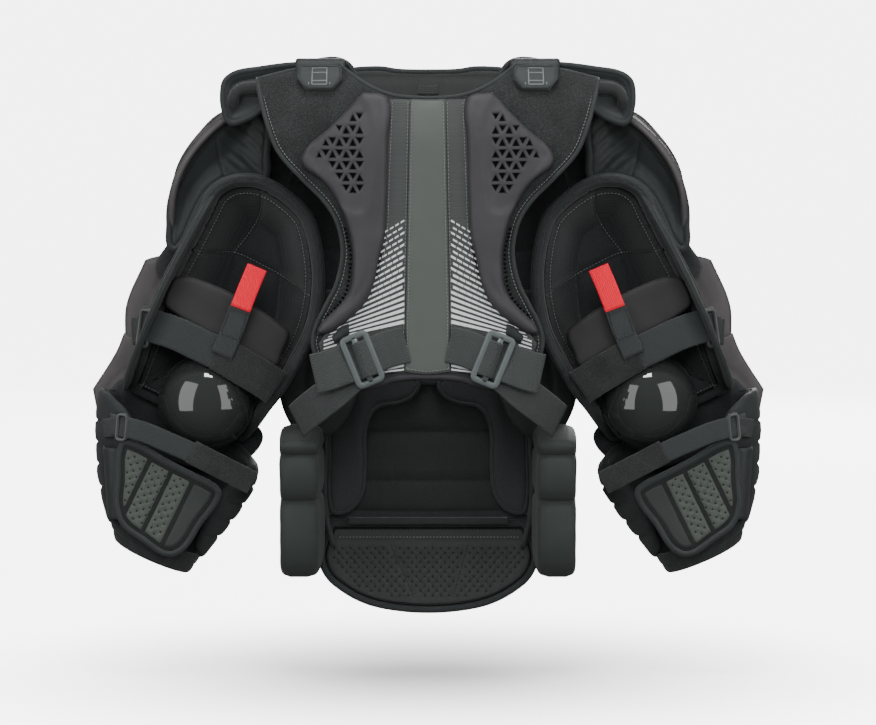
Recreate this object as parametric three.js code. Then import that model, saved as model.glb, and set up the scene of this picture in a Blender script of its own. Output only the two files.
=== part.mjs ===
// Goalie chest-and-arm protector, as worn, in millimetres.
// The origin is on the wearer's shoulder line, at the underside of the shoulder yokes.
// +X is the wearer's right, +Y the wearer's chest, +Z up. The right side is drawn and the
// left side is its mirror image.
import * as THREE from "three";

// ---- driving dimensions ----
const BACK_DEPTH = -128;          // rearmost point of the back panel's outer face
const BACK_WRAP = 0.0006;         // how much the back panel curves round the ribs
const BACK_ROLL_FROM = -70;       // above this height the back panel leans over the shoulder
const BACK_ROLL_HEIGHT = 105;
const BACK_ROLL = 45;
const BACK_THICK = 12;
const CHEST_DEPTH = 112;          // inner face of the chest plate
const CHEST_WRAP = 0.0005;
const CHEST_THICK = 14;
const BLOCK_THICK = 24;           // foam blocks on the chest
const GAP = 1;                    // air between pads that lie on each other
const ROW_PITCH = 18;             // height of one row of facets on a curved pad
const YOKE_BACK = -45;
const YOKE_FRONT = 108;
const ARM_BACK = -40;             // rear rim of the arm channel
const ARM_FLOOR = 70;             // inner face of the arm liner
const LINER_THICK = 20;
const ARMOUR_FROM = 92;           // inner face of the armour in front of the liner
const ARMOUR_TO = 118;
const STRAP_THICK = 4;
const CUP_CENTRE = [281, -392];   // x and z of the elbow cup
const CUP_RADIUS = 56;
const CUP_RIM = -12;
const CUP_DEPTH = 58;
const CUP_WALL = 3.5;
const CUFF_CENTRE = [345, 16, -562];
const CUFF_TILT = THREE.MathUtils.degToRad(25);
const CUFF_OUTER = [52, 50];      // half width across the wrist and half depth
const CUFF_WALL = 6;
const CUFF_LENGTH = 46;

// ---- materials ----
function material(colour, roughness, metalness = 0) {
  return new THREE.MeshStandardMaterial({ color: colour, roughness, metalness });
}

const LOOP = material(0x222424, 0.95);
const FOAM = material(0x37373a, 0.6);
const SPINE = material(0x595e5b, 0.5);
const WEBBING = material(0x363a39, 0.7);
const BUCKLE = material(0x555b5b, 0.4);
const LINER = material(0x1e2021, 0.9);
const RED = material(0xed4d51, 0.7);
const ELASTIC = material(0x2d3131, 0.8);
const GLOSS = material(0x1c1e1e, 0.12);
const NYLON = material(0x1f2223, 0.6);
const WING = material(0x4d4b4b, 0.65);
const RIB = material(0x313634, 0.55);
const MESH = material(0x3b3f3d, 0.7);
const SHELL = material(0x1b1f1f, 0.55);

// ---- shapes ----
// A plate with an outline in X and Z, from yBack to yFront, its edges broken by a bevel.
function plate(outline, yBack, yFront, bevel = 3) {
  const shape = new THREE.Shape(outline.map(([x, z]) => new THREE.Vector2(x, z)));
  const depth = yFront - yBack;
  const edge = Math.min(bevel, depth / 3);
  const geometry = new THREE.ExtrudeGeometry(shape, {
    depth: depth - 2 * edge,
    steps: 1,
    bevelEnabled: edge > 0,
    bevelThickness: edge,
    bevelSize: edge,
    bevelOffset: -edge,
    bevelSegments: 1,
  });
  geometry.rotateX(Math.PI / 2);
  geometry.translate(0, yFront - edge, 0);
  return geometry;
}

// Straight-line interpolation in a list of [key, value] pairs, sorted by falling key.
function lookUp(pairs, key) {
  if (key >= pairs[0][0]) {
    return pairs[0][1];
  }
  for (let i = 1; i < pairs.length; i += 1) {
    const [k0, v0] = pairs[i - 1];
    const [k1, v1] = pairs[i];
    if (key >= k1) {
      return v0 + ((v1 - v0) * (k0 - key)) / (k0 - k1);
    }
  }
  return pairs[pairs.length - 1][1];
}

// A closed slab over a grid of points: point(u, v) gives x and z, face(x, z) its near side.
function slab(columns, rows, point, face, thickness) {
  const positions = [];
  const index = [];
  const across = columns + 1;
  const side = across * (rows + 1);
  for (const offset of [0, thickness]) {
    for (let j = 0; j <= rows; j += 1) {
      for (let i = 0; i <= columns; i += 1) {
        const [x, z] = point(i / columns, j / rows);
        positions.push(x, face(x, z) + offset, z);
      }
    }
  }
  const quad = (a, b, c, d) => index.push(a, b, c, a, c, d);
  for (let j = 0; j < rows; j += 1) {
    for (let i = 0; i < columns; i += 1) {
      const a = j * across + i;
      quad(a, a + across, a + across + 1, a + 1);
      quad(side + a, side + a + 1, side + a + across + 1, side + a + across);
    }
  }
  for (let i = 0; i < columns; i += 1) {
    const low = rows * across + i;
    quad(i, i + 1, side + i + 1, side + i);
    quad(low + 1, low, side + low, side + low + 1);
  }
  for (let j = 0; j < rows; j += 1) {
    const left = j * across;
    const right = left + columns;
    quad(left + across, left, side + left, side + left + across);
    quad(right, right + across, side + right + across, side + right);
  }
  const geometry = new THREE.BufferGeometry();
  geometry.setAttribute("position", new THREE.Float32BufferAttribute(positions, 3));
  geometry.setIndex(index);
  geometry.computeVertexNormals();
  return geometry;
}

// A slab whose left and right edges are given at some heights: [z, xLeft, xRight], from the top.
function rowSlab(rowEdges, columns, face, thickness) {
  const left = rowEdges.map(([z, a]) => [z, a]);
  const right = rowEdges.map(([z, , b]) => [z, b]);
  const top = rowEdges[0][0];
  const bottom = rowEdges[rowEdges.length - 1][0];
  const rows = Math.ceil((top - bottom) / ROW_PITCH);
  const point = (u, v) => {
    const z = top + (bottom - top) * v;
    const a = lookUp(left, z);
    return [a + (lookUp(right, z) - a) * u, z];
  };
  return slab(columns, rows, point, face, thickness);
}

// A flat strap along a path of points, with its width direction at each point.
function ribbon(path, width, thickness) {
  const positions = [];
  const index = [];
  const last = path.length - 1;
  path.forEach(({ at, across }, i) => {
    const before = new THREE.Vector3(...path[Math.max(i - 1, 0)].at);
    const after = new THREE.Vector3(...path[Math.min(i + 1, last)].at);
    const along = after.sub(before).normalize();
    const wide = new THREE.Vector3(...across).normalize();
    const up = along.clone().cross(wide).normalize();
    const centre = new THREE.Vector3(...at);
    for (const [a, b] of [[-1, -1], [1, -1], [1, 1], [-1, 1]]) {
      const corner = centre.clone();
      corner.addScaledVector(wide, (a * width) / 2);
      corner.addScaledVector(up, (b * thickness) / 2);
      positions.push(corner.x, corner.y, corner.z);
    }
  });
  for (let i = 0; i < last; i += 1) {
    for (let k = 0; k < 4; k += 1) {
      const a = 4 * i + k;
      const b = 4 * i + ((k + 1) % 4);
      index.push(a, b, b + 4, a, b + 4, a + 4);
    }
  }
  const end = 4 * last;
  index.push(0, 2, 1, 0, 3, 2, end, end + 1, end + 2, end, end + 2, end + 3);
  const geometry = new THREE.BufferGeometry();
  geometry.setAttribute("position", new THREE.Float32BufferAttribute(positions, 3));
  geometry.setIndex(index);
  geometry.computeVertexNormals();
  return geometry;
}

// A thin-walled cup, open towards +Y.
function cup(radius, depth, wall) {
  const steps = 8;
  const profile = [];
  for (let i = 0; i <= steps; i += 1) {
    const angle = (i / steps) * (Math.PI / 2);
    profile.push(new THREE.Vector2(radius * Math.sin(angle), -depth * Math.cos(angle)));
  }
  for (let i = steps; i >= 0; i -= 1) {
    const angle = (i / steps) * (Math.PI / 2);
    const inner = (radius - wall) * Math.sin(angle);
    profile.push(new THREE.Vector2(inner, -(depth - wall) * Math.cos(angle)));
  }
  return new THREE.LatheGeometry(profile, 28);
}

// An oval band with its length along Z.
function band(halfWidth, halfDepth, wall, length) {
  const outer = new THREE.Shape();
  outer.absellipse(0, 0, halfWidth, halfDepth, 0, 2 * Math.PI);
  const hole = new THREE.Path();
  hole.absellipse(0, 0, halfWidth - wall, halfDepth - wall, 0, 2 * Math.PI);
  outer.holes.push(hole);
  const options = { depth: length, steps: 1, bevelEnabled: false, curveSegments: 12 };
  const geometry = new THREE.ExtrudeGeometry(outer, options);
  geometry.translate(0, 0, -length / 2);
  return geometry;
}

// ---- the object ----
const protector = new THREE.Group();

function add(group, name, geometry, look) {
  const mesh = new THREE.Mesh(geometry, look);
  mesh.name = name;
  group.add(mesh);
  return mesh;
}

// Calls build once for each side with a group of its own; the left group is mirrored.
function bothSides(build) {
  for (const [side, sign] of [["right", 1], ["left", -1]]) {
    const group = new THREE.Group();
    group.scale.x = sign;
    protector.add(group);
    build(group, side);
  }
}

// Outer face of the back panel.
function backFace(x, z) {
  const lean = THREE.MathUtils.clamp((z - BACK_ROLL_FROM) / BACK_ROLL_HEIGHT, 0, 1);
  return BACK_DEPTH + BACK_WRAP * x * x + BACK_ROLL * lean * lean;
}

// Inner face of the chest plate.
function chestFace(x) {
  return CHEST_DEPTH - CHEST_WRAP * x * x;
}

// ---- back: one hourglass panel with everything that is sewn to it ----
const BACK_EDGE = [
  [12, 212], [-18, 204], [-48, 196], [-76, 184], [-110, 154], [-135, 128], [-157, 113],
  [-179, 106], [-204, 105], [-240, 114], [-259, 124], [-289, 137], [-311, 141], [-327, 137],
];
const NECK_EDGE = [[212, 12], [109, 31], [87, 13], [69, 3], [46, -7], [21, -10], [0, -11]];
const BACK_HEM = [[137, -327], [80, -361], [45, -351], [0, -348]];

function backPoint(u, v) {
  const across = 2 * u - 1;
  const top = lookUp(NECK_EDGE, Math.abs(across) * BACK_EDGE[0][1]);
  const bottom = lookUp(BACK_HEM, Math.abs(across) * BACK_HEM[0][0]);
  const z = top + (bottom - top) * v;
  return [across * lookUp(BACK_EDGE, z), z];
}

add(protector, "back_panel", slab(20, 14, backPoint, backFace, BACK_THICK), LOOP);

const SPINE_THICK = 7;
const SPINE_ROWS = [
  [-14, -42, 42], [-60, -46, 46], [-110, -50, 50], [-159, -54, 54], [-200, -56, 56],
  [-230, -60, 60], [-255, -68, 68], [-280, -92, 92], [-300, -118, 118], [-325, -116, 116],
  [-342, -74, 74],
];
const onBack = (lift) => (x, z) => backFace(x, z) - lift;
const spineFace = onBack(SPINE_THICK + GAP);
add(protector, "spine_panel", rowSlab(SPINE_ROWS, 10, spineFace, SPINE_THICK), SPINE);

const MOULD_THICK = 14;
const MOULD_ROWS = [
  [-6, 50, 80], [-40, 52, 116], [-86, 55, 154], [-110, 57, 130], [-140, 58, 112],
  [-175, 60, 98], [-200, 61, 93], [-230, 66, 98], [-255, 74, 108], [-280, 98, 124],
];
const TAB_THICK = 10;
const TAB_ROWS = [[35, 106, 158], [20, 106, 158], [5, 110, 154]];
const BUCKLE_TILT = THREE.MathUtils.degToRad(-21);

function buckle() {
  const frame = new THREE.Shape();
  frame.moveTo(-13, -29);
  frame.lineTo(13, -29);
  frame.lineTo(13, 29);
  frame.lineTo(-13, 29);
  frame.closePath();
  const slot = new THREE.Path();
  slot.moveTo(-5, -25);
  slot.lineTo(-5, 25);
  slot.lineTo(5, 25);
  slot.lineTo(5, -25);
  slot.closePath();
  frame.holes.push(slot);
  const geometry = new THREE.ExtrudeGeometry(frame, { depth: 5, bevelEnabled: false });
  geometry.rotateX(Math.PI / 2);
  geometry.rotateY(BUCKLE_TILT * -1);
  geometry.translate(80, -136, -328);
  return geometry;
}

const WAIST_STRAP = [
  { at: [94, -133.5, -326], across: [0.35, 0, 0.94] },
  { at: [120, -131, -336], across: [0.4, 0, 0.92] },
  { at: [144, -118, -354], across: [0.6, 0.2, 0.77] },
  { at: [158, -96, -380], across: [0.72, 0.35, 0.6] },
  { at: [166, -72, -408], across: [0.75, 0.45, 0.5] },
];

bothSides((group, side) => {
  const mould = rowSlab(MOULD_ROWS, 5, onBack(MOULD_THICK + GAP), MOULD_THICK);
  add(group, `back_moulding_${side}`, mould, FOAM);
  const tab = rowSlab(TAB_ROWS, 3, onBack(TAB_THICK + GAP), TAB_THICK);
  add(group, `shoulder_tab_${side}`, tab, WEBBING);
  add(group, `strap_buckle_${side}`, buckle(), BUCKLE);
  add(group, `waist_strap_${side}`, ribbon(WAIST_STRAP, 42, 2.5), WEBBING);
});

// ---- chest, collar and shoulder yokes ----
const CHEST_ROWS = [
  [-32, -120, 120], [-60, -182, 182], [-110, -190, 190], [-180, -178, 178],
  [-240, -158, 158], [-286, -132, 132],
];
add(protector, "chest_plate", rowSlab(CHEST_ROWS, 12, chestFace, CHEST_THICK), NYLON);
const COLLAR = [[-98, -24], [98, -24], [98, 20], [84, 27], [-84, 27], [-98, 20]];
add(protector, "collar_pad", plate(COLLAR, 96, 109), MESH);

const CHEST_BLOCK = [
  [-50, 4, 150], [-70, 4, 178], [-120, 4, 182], [-180, 4, 170], [-240, 4, 150], [-278, 4, 124],
];
const YOKE = [
  [102, 0], [239, 0], [241, -28], [259, -28], [257, 4], [250, 16], [236, 27], [153, 33],
  [102, 24],
];
bothSides((group, side) => {
  const front = (x) => chestFace(x) + CHEST_THICK + GAP;
  add(group, `chest_block_${side}`, rowSlab(CHEST_BLOCK, 6, front, BLOCK_THICK), FOAM);
  add(group, `shoulder_yoke_${side}`, plate(YOKE, YOKE_BACK, YOKE_FRONT, 0), NYLON);
});

// ---- belly and its lower extension ----
const BELLY = [[-128, -300], [128, -300], [131, -430], [128, -548], [-128, -548], [-131, -430]];
add(protector, "belly_liner", plate(BELLY, 112, 126), LINER);
const BELLY_FRONT = [[-108, -335], [108, -335], [112, -430], [106, -532], [-106, -532],
  [-112, -430]];
add(protector, "belly_front_pad", plate(BELLY_FRONT, 127, 150, 6), NYLON);
const EXTENSION_HALF = [[129, -565], [134, -580], [139, -608], [131, -631], [81, -665],
  [22, -677]];
const EXTENSION = [
  ...EXTENSION_HALF,
  ...EXTENSION_HALF.map(([x, z]) => [-x, z]).reverse(),
];
add(protector, "belly_extension", plate(EXTENSION, 112, 130), MESH);

const SIDE_PAD = [
  [16, -377], [20, -396], [39, -405], [73, -413], [81, -436], [83, -491], [86, -523],
  [103, -543], [125, -546], [126, -377],
];
const RIB_HEIGHTS = [
  ["upper", -440, -455], ["middle", -459, -514], ["lower", -518, -608],
];
const RIB_INNER = 134;
const RIB_OUTER = 188;
bothSides((group, side) => {
  add(group, `belly_side_pad_${side}`, plate(SIDE_PAD, 99, 111), LINER);
  for (const [level, top, bottom] of RIB_HEIGHTS) {
    const outline = [
      [RIB_INNER, top], [RIB_OUTER, top], [RIB_OUTER, bottom], [RIB_INNER, bottom],
    ];
    add(group, `rib_block_${level}_${side}`, plate(outline, -48, 104, 5), RIB);
  }
});

// ---- arms ----
const DELTOID = [
  [228, -34], [257, -38], [291, -62], [319, -89], [334, -110], [340, -134], [333, -166],
  [322, -196], [308, -180], [293, -146], [277, -118], [256, -100], [228, -98],
];
const CAP = [
  [267, -28], [285, -36], [302, -50], [320, -69], [326, -90], [321, -114], [302, -112],
  [298, -90], [286, -66], [267, -50],
];
const ARM_LINER = [
  [206, -111], [251, -110], [270, -123], [298, -175], [328, -230], [352, -290],
  [372, -345], [383, -380], [310, -414], [238, -447], [203, -403], [173, -362],
  [143, -301], [134, -242], [141, -182], [156, -146],
];
const OUTER_WALL = [
  [270, -128], [284, -153], [299, -179], [320, -214], [344, -268], [363, -320],
  [376, -374], [358, -384], [343, -326], [324, -276], [301, -224], [281, -188],
  [266, -162], [252, -136],
];
const INNER_WALL = [
  [152, -147], [137, -179], [131, -237], [140, -295], [168, -354], [197, -394],
  [210, -411], [217, -394], [186, -346], [159, -290], [151, -236], [156, -184],
  [169, -156],
];
const BICEPS_WING = [
  [212, -216], [366, -218], [393, -280], [393, -318], [300, -342], [214, -300],
];
const ELBOW_WING = [
  [296, -348], [394, -324], [435, -385], [431, -412], [419, -408], [394, -380],
  [304, -402],
];
const STRAP_PAD = [[300, -230], [317, -232], [327, -268], [193, -347], [177, -303]];
const UPPER_STRAP = [
  [364, -272], [350, -316], [262, -345], [201, -390], [177, -353], [247, -313],
];
const PULL_TAB = [[204, -228], [226, -217], [274, -326], [250, -337]];
const FOREARM = [
  [264, -484], [411, -416], [427, -446], [427, -485], [436, -523], [421, -549],
  [392, -576], [325, -596], [298, -579], [270, -540],
];
const FOREARM_WALL = [
  [406, -440], [427, -446], [427, -485], [434, -523], [420, -548], [405, -548],
];
const WRIST_FLAP = [
  [370, -440], [392, -440], [401, -485], [403, -523], [393, -541], [325, -582],
  [266, -514], [264, -503], [291, -482], [330, -464],
];
const LOWER_STRAP = [
  [379, -410], [348, -417], [328, -428], [289, -444], [213, -479], [228, -504],
  [289, -464], [325, -450], [350, -441], [373, -434],
];

bothSides((group, side) => {
  const part = (name, geometry, look) => add(group, `${name}_${side}`, geometry, look);
  part("deltoid_flap", plate(DELTOID, -6, 30, 4), NYLON);
  part("shoulder_cap", plate(CAP, 32, 96, 4), SHELL);
  part("arm_liner", plate(ARM_LINER, ARM_FLOOR, ARM_FLOOR + LINER_THICK, 4), LINER);
  part("arm_outer_wall", plate(OUTER_WALL, ARM_BACK, ARM_FLOOR - GAP, 4), LINER);
  part("arm_inner_wall", plate(INNER_WALL, ARM_BACK, ARM_FLOOR - GAP, 4), LINER);
  part("biceps_wing", plate(BICEPS_WING, ARMOUR_FROM, ARMOUR_TO, 5), WING);
  part("elbow_wing", plate(ELBOW_WING, ARMOUR_FROM, ARMOUR_TO, 5), WING);
  part("strap_pad", plate(STRAP_PAD, -50, ARM_BACK - GAP), FOAM);
  part("upper_strap", plate(UPPER_STRAP, -56, -56 + STRAP_THICK, 0), ELASTIC);
  part("pull_tab", plate(PULL_TAB, -61, -61 + STRAP_THICK, 0), RED);

  const elbow = cup(CUP_RADIUS, CUP_DEPTH, CUP_WALL);
  elbow.translate(CUP_CENTRE[0], CUP_RIM, CUP_CENTRE[1]);
  part("elbow_cup", elbow, GLOSS);

  part("forearm_shell", plate(FOREARM, ARM_FLOOR, ARMOUR_TO - 6, 5), MESH);
  part("forearm_outer_wall", plate(FOREARM_WALL, ARM_BACK, ARM_FLOOR - GAP, 4), MESH);
  part("wrist_flap", plate(WRIST_FLAP, -60, -44, 4), MESH);
  part("lower_strap", plate(LOWER_STRAP, -70, -70 + STRAP_THICK, 0), ELASTIC);
  const cuff = band(...CUFF_OUTER, CUFF_WALL, CUFF_LENGTH);
  cuff.rotateY(-CUFF_TILT);
  cuff.translate(...CUFF_CENTRE);
  part("wrist_cuff", cuff, ELASTIC);
});

export default protector;
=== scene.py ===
"""Looks for the goalie chest-and-arm protector: every soft pad, strap and shell around the frame.

Shapes are drawn in millimetres for the wearer's right side (+X) and mirrored for the left.
"""
import math

import bpy
import numpy as np
from mathutils import Matrix, Vector, noise
from mathutils.geometry import delaunay_2d_cdt


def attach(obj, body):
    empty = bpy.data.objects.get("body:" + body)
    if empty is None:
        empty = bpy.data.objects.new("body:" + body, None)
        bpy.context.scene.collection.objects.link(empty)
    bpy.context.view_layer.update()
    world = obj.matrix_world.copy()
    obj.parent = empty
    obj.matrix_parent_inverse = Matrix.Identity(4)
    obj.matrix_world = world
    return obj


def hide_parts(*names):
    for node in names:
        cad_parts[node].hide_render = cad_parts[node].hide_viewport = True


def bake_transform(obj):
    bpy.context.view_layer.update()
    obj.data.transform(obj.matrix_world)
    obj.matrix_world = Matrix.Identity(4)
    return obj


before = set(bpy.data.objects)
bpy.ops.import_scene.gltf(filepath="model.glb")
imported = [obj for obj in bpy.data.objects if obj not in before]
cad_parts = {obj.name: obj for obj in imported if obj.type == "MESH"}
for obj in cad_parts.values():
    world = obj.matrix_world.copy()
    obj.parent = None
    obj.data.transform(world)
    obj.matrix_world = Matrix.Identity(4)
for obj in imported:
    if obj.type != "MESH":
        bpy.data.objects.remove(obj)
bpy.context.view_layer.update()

MM = 0.001


# ---------------------------------------------------------------- curves and fields
def smooth(points, step, closed=True):
    """A smooth curve through the points, cut every step. A point with a third item is a corner."""
    flat = np.array([p[:2] for p in points], float)
    corner = [len(p) > 2 for p in points]
    count = len(flat)
    spans = count if closed else count - 1
    unit = []
    for i in range(spans):
        side = flat[(i + 1) % count] - flat[i]
        unit.append(side / max(np.linalg.norm(side), 1e-9))
    out = []
    for i in range(spans):
        a, b = flat[i], flat[(i + 1) % count]
        length = np.linalg.norm(b - a)
        before = unit[(i - 1) % spans] if (closed or i > 0) else unit[i]
        after = unit[(i + 1) % spans] if (closed or i < spans - 1) else unit[i]
        start = unit[i] if corner[i] else before + unit[i]
        end = unit[i] if corner[(i + 1) % count] else unit[i] + after
        start = start / max(np.linalg.norm(start), 1e-9) * length
        end = end / max(np.linalg.norm(end), 1e-9) * length
        pieces = max(1, int(round(length / step)))
        for k in range(pieces):
            s = k / pieces
            h00, h10 = 2 * s**3 - 3 * s**2 + 1, s**3 - 2 * s**2 + s
            h01, h11 = -2 * s**3 + 3 * s**2, s**3 - s**2
            out.append(h00 * a + h10 * start + h01 * b + h11 * end)
    if not closed:
        out.append(flat[-1])
    return np.array(out)


def mirrored_loop(half):
    """A closed outline from its right half, listed from the top centre to the bottom centre."""
    back = [(-p[0], *p[1:]) for p in reversed(half) if abs(p[0]) > 1e-6]
    return list(half) + back


def distance(points, lines):
    """Distance from each point to the nearest of the polylines."""
    best = np.full(len(points), 1e9)
    for line in lines:
        a, b = line[:-1], line[1:]
        ab = b - a
        square = np.maximum((ab**2).sum(1), 1e-12)
        for first in range(0, len(points), 1500):
            p = points[first : first + 1500, None, :]
            t = np.clip(((p - a) * ab).sum(2) / square, 0, 1)
            near = a + ab * t[:, :, None]
            gap = np.sqrt(((p - near) ** 2).sum(2)).min(1)
            best[first : first + 1500] = np.minimum(best[first : first + 1500], gap)
    return best


def inside(points, loop):
    """Which points lie inside the closed loop."""
    x, y = points[:, 0][:, None], points[:, 1][:, None]
    x0, y0 = loop[:, 0], loop[:, 1]
    x1, y1 = np.roll(x0, -1), np.roll(y0, -1)
    span = np.where(np.abs(y1 - y0) < 1e-9, 1e-9, y1 - y0)
    hit = ((y0 > y) != (y1 > y)) & (x < (x1 - x0) * (y - y0) / span + x0)
    return hit.sum(1) % 2 == 1


def closed_line(loop):
    """An outline with its first point repeated at its end."""
    return np.vstack([loop, loop[:1]])


def run_along(line):
    """Distance along a polyline at each of its points."""
    return np.concatenate([[0], np.cumsum(np.linalg.norm(np.diff(line, axis=0), axis=1))])


def unit_rows(vectors):
    """The vectors at length 1."""
    return vectors / np.maximum(np.linalg.norm(vectors, axis=1), 1e-9)[:, None]


def inward_sides(loop):
    """Directions into a closed outline, at each of its points."""
    ahead = np.roll(loop, -1, 0) - np.roll(loop, 1, 0)
    area = (loop[:, 0] * np.roll(loop[:, 1], -1) - np.roll(loop[:, 0], -1) * loop[:, 1]).sum()
    return unit_rows(np.stack([-ahead[:, 1], ahead[:, 0]], 1) * (1 if area > 0 else -1))


def polygon(x, z, reach, sides, turn=0.0):
    """A regular polygon; turn is in degrees."""
    angles = [math.radians(turn + 360 / sides * k) for k in range(sides)]
    return np.array([(x + reach * math.cos(a), z + reach * math.sin(a)) for a in angles])


def ring_faces(count, sides, closed=False):
    """Quads that join rings of points, each with the same number of sides."""
    faces = []
    for i in range(count if closed else count - 1):
        j = (i + 1) % count
        for k in range(sides):
            m = (k + 1) % sides
            faces.append((i * sides + k, i * sides + m, j * sides + m, j * sides + k))
    return faces


def round_rise(t):
    """0 to 1 as a quarter circle."""
    t = np.clip(t, 0, 1)
    return np.sqrt(np.clip(1 - (1 - t) ** 2, 0, 1))


def soft_step(t):
    """0 to 1, level at both ends."""
    t = np.clip(t, 0, 1)
    return t * t * (3 - 2 * t)


def wobble(x, z, size, seed=0.0):
    """Smooth noise from -1 to 1 at each point; size is the width of its lumps in millimetres."""
    return np.array([noise.noise(Vector((a / size, b / size, seed))) for a, b in zip(x, z)])


# ---------------------------------------------------------------- mesh making
def mesh_object(name, verts, faces, material, smooth_shade=True, uv=None):
    """An object from points in millimetres. material may be one material or a list of them."""
    mesh = bpy.data.meshes.new(name)
    mesh.from_pydata((np.asarray(verts, float) * MM).tolist(), [], faces)
    mesh.validate()
    mesh.polygons.foreach_set("use_smooth", [smooth_shade] * len(mesh.polygons))
    if uv is not None:
        layer = mesh.uv_layers.new(name="UVMap")
        corner = np.zeros(len(mesh.loops), int)
        mesh.loops.foreach_get("vertex_index", corner)
        layer.data.foreach_set("uv", (np.asarray(uv)[corner] * MM).ravel())
    mesh.update()
    obj = bpy.data.objects.new(name, mesh)
    bpy.context.scene.collection.objects.link(obj)
    for m in material if isinstance(material, (list, tuple)) else [material]:
        mesh.materials.append(m)
    return obj


class Spread:
    """Points kept at least a given gap from each other."""

    def __init__(self, cell):
        self.cell = cell
        self.grid = {}
        self.points = []

    def free(self, p, gap):
        i, j = int(p[0] // self.cell), int(p[1] // self.cell)
        for a in (i - 1, i, i + 1):
            for b in (j - 1, j, j + 1):
                for q in self.grid.get((a, b), ()):
                    if (p[0] - q[0]) ** 2 + (p[1] - q[1]) ** 2 < gap * gap:
                        return False
        return True

    def add(self, p, gap=0.0):
        if gap and not self.free(p, gap):
            return
        key = (int(p[0] // self.cell), int(p[1] // self.cell))
        self.grid.setdefault(key, []).append((float(p[0]), float(p[1])))
        self.points.append((float(p[0]), float(p[1])))


ROW_RATIO = 0.866


def triangulate(loop, spacing, rings=(), lines=(), cuts=()):
    """Fills an outline with small triangles. cuts are closed polygons kept as edges."""
    spread = Spread(spacing)
    for p in loop:
        spread.add(p)
    edges = [(i, (i + 1) % len(loop)) for i in range(len(loop))]
    for cut in cuts:
        first = len(spread.points)
        for p in cut:
            spread.add(p)
        edges += [(first + i, first + (i + 1) % len(cut)) for i in range(len(cut))]
    border = closed_line(loop)
    for line in lines:
        for p, gap in zip(line, distance(line, [border])):
            if gap > 0.3 * spacing:
                spread.add(p, 0.35 * spacing)
    inward = inward_sides(loop)
    previous = 0
    for ring in rings:
        points = loop + inward * ring
        keep = inside(points, loop) & (distance(points, [border]) > 0.8 * ring)
        gap = max(0.5 * (ring - previous), 0.3 * spacing)
        previous = ring
        for p in points[keep]:
            spread.add(p, min(gap, 0.7 * spacing))
    low, high = loop.min(0), loop.max(0)
    row_gap = spacing * ROW_RATIO
    rows = int((high[1] - low[1]) / row_gap) + 1
    grid = []
    for j in range(rows):
        z = low[1] + (j + 0.5) * row_gap
        x = low[0] + (0.5 if j % 2 else 0.0) * spacing
        while x < high[0]:
            grid.append((x, z))
            x += spacing
    grid = np.array(grid)
    grid = grid[inside(grid, loop)]
    if len(grid):
        depth = distance(grid, [border])
        reach = rings[-1] if rings else 0
        for p in grid[depth > reach + 0.35 * spacing]:
            spread.add(p, 0.6 * spacing)
    verts = [Vector(p) for p in spread.points]
    out, _, faces, *_ = delaunay_2d_cdt(verts, edges, [], 1, 1e-6)
    return np.array([tuple(v) for v in out]), [tuple(f) for f in faces]


def shell_faces(faces, count):
    """Faces of a closed slab: the front, the back and the sides between them."""
    seen = {}
    for face in faces:
        for pair in zip(face, face[1:] + face[:1]):
            seen[pair] = True
    sides = [(a, a + count, b + count, b) for a, b in seen if (b, a) not in seen]
    back = [tuple(i + count for i in reversed(face)) for face in faces]
    return list(faces), back, sides


EDGE_RINGS = (1.2, 3, 5.5, 9, 13)


def on(base):
    """The surface y = base(x, z), whose outer side looks along -y."""
    return lambda u, v: np.stack([u, base(u, v), v], 1)


def surface_frame(surface, u, v):
    """Points of a surface and its outward normals."""
    along_u = surface(u + 0.5, v) - surface(u - 0.5, v)
    along_v = surface(u, v + 0.5) - surface(u, v - 0.5)
    return surface(u, v), unit_rows(np.cross(along_u, along_v))


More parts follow.
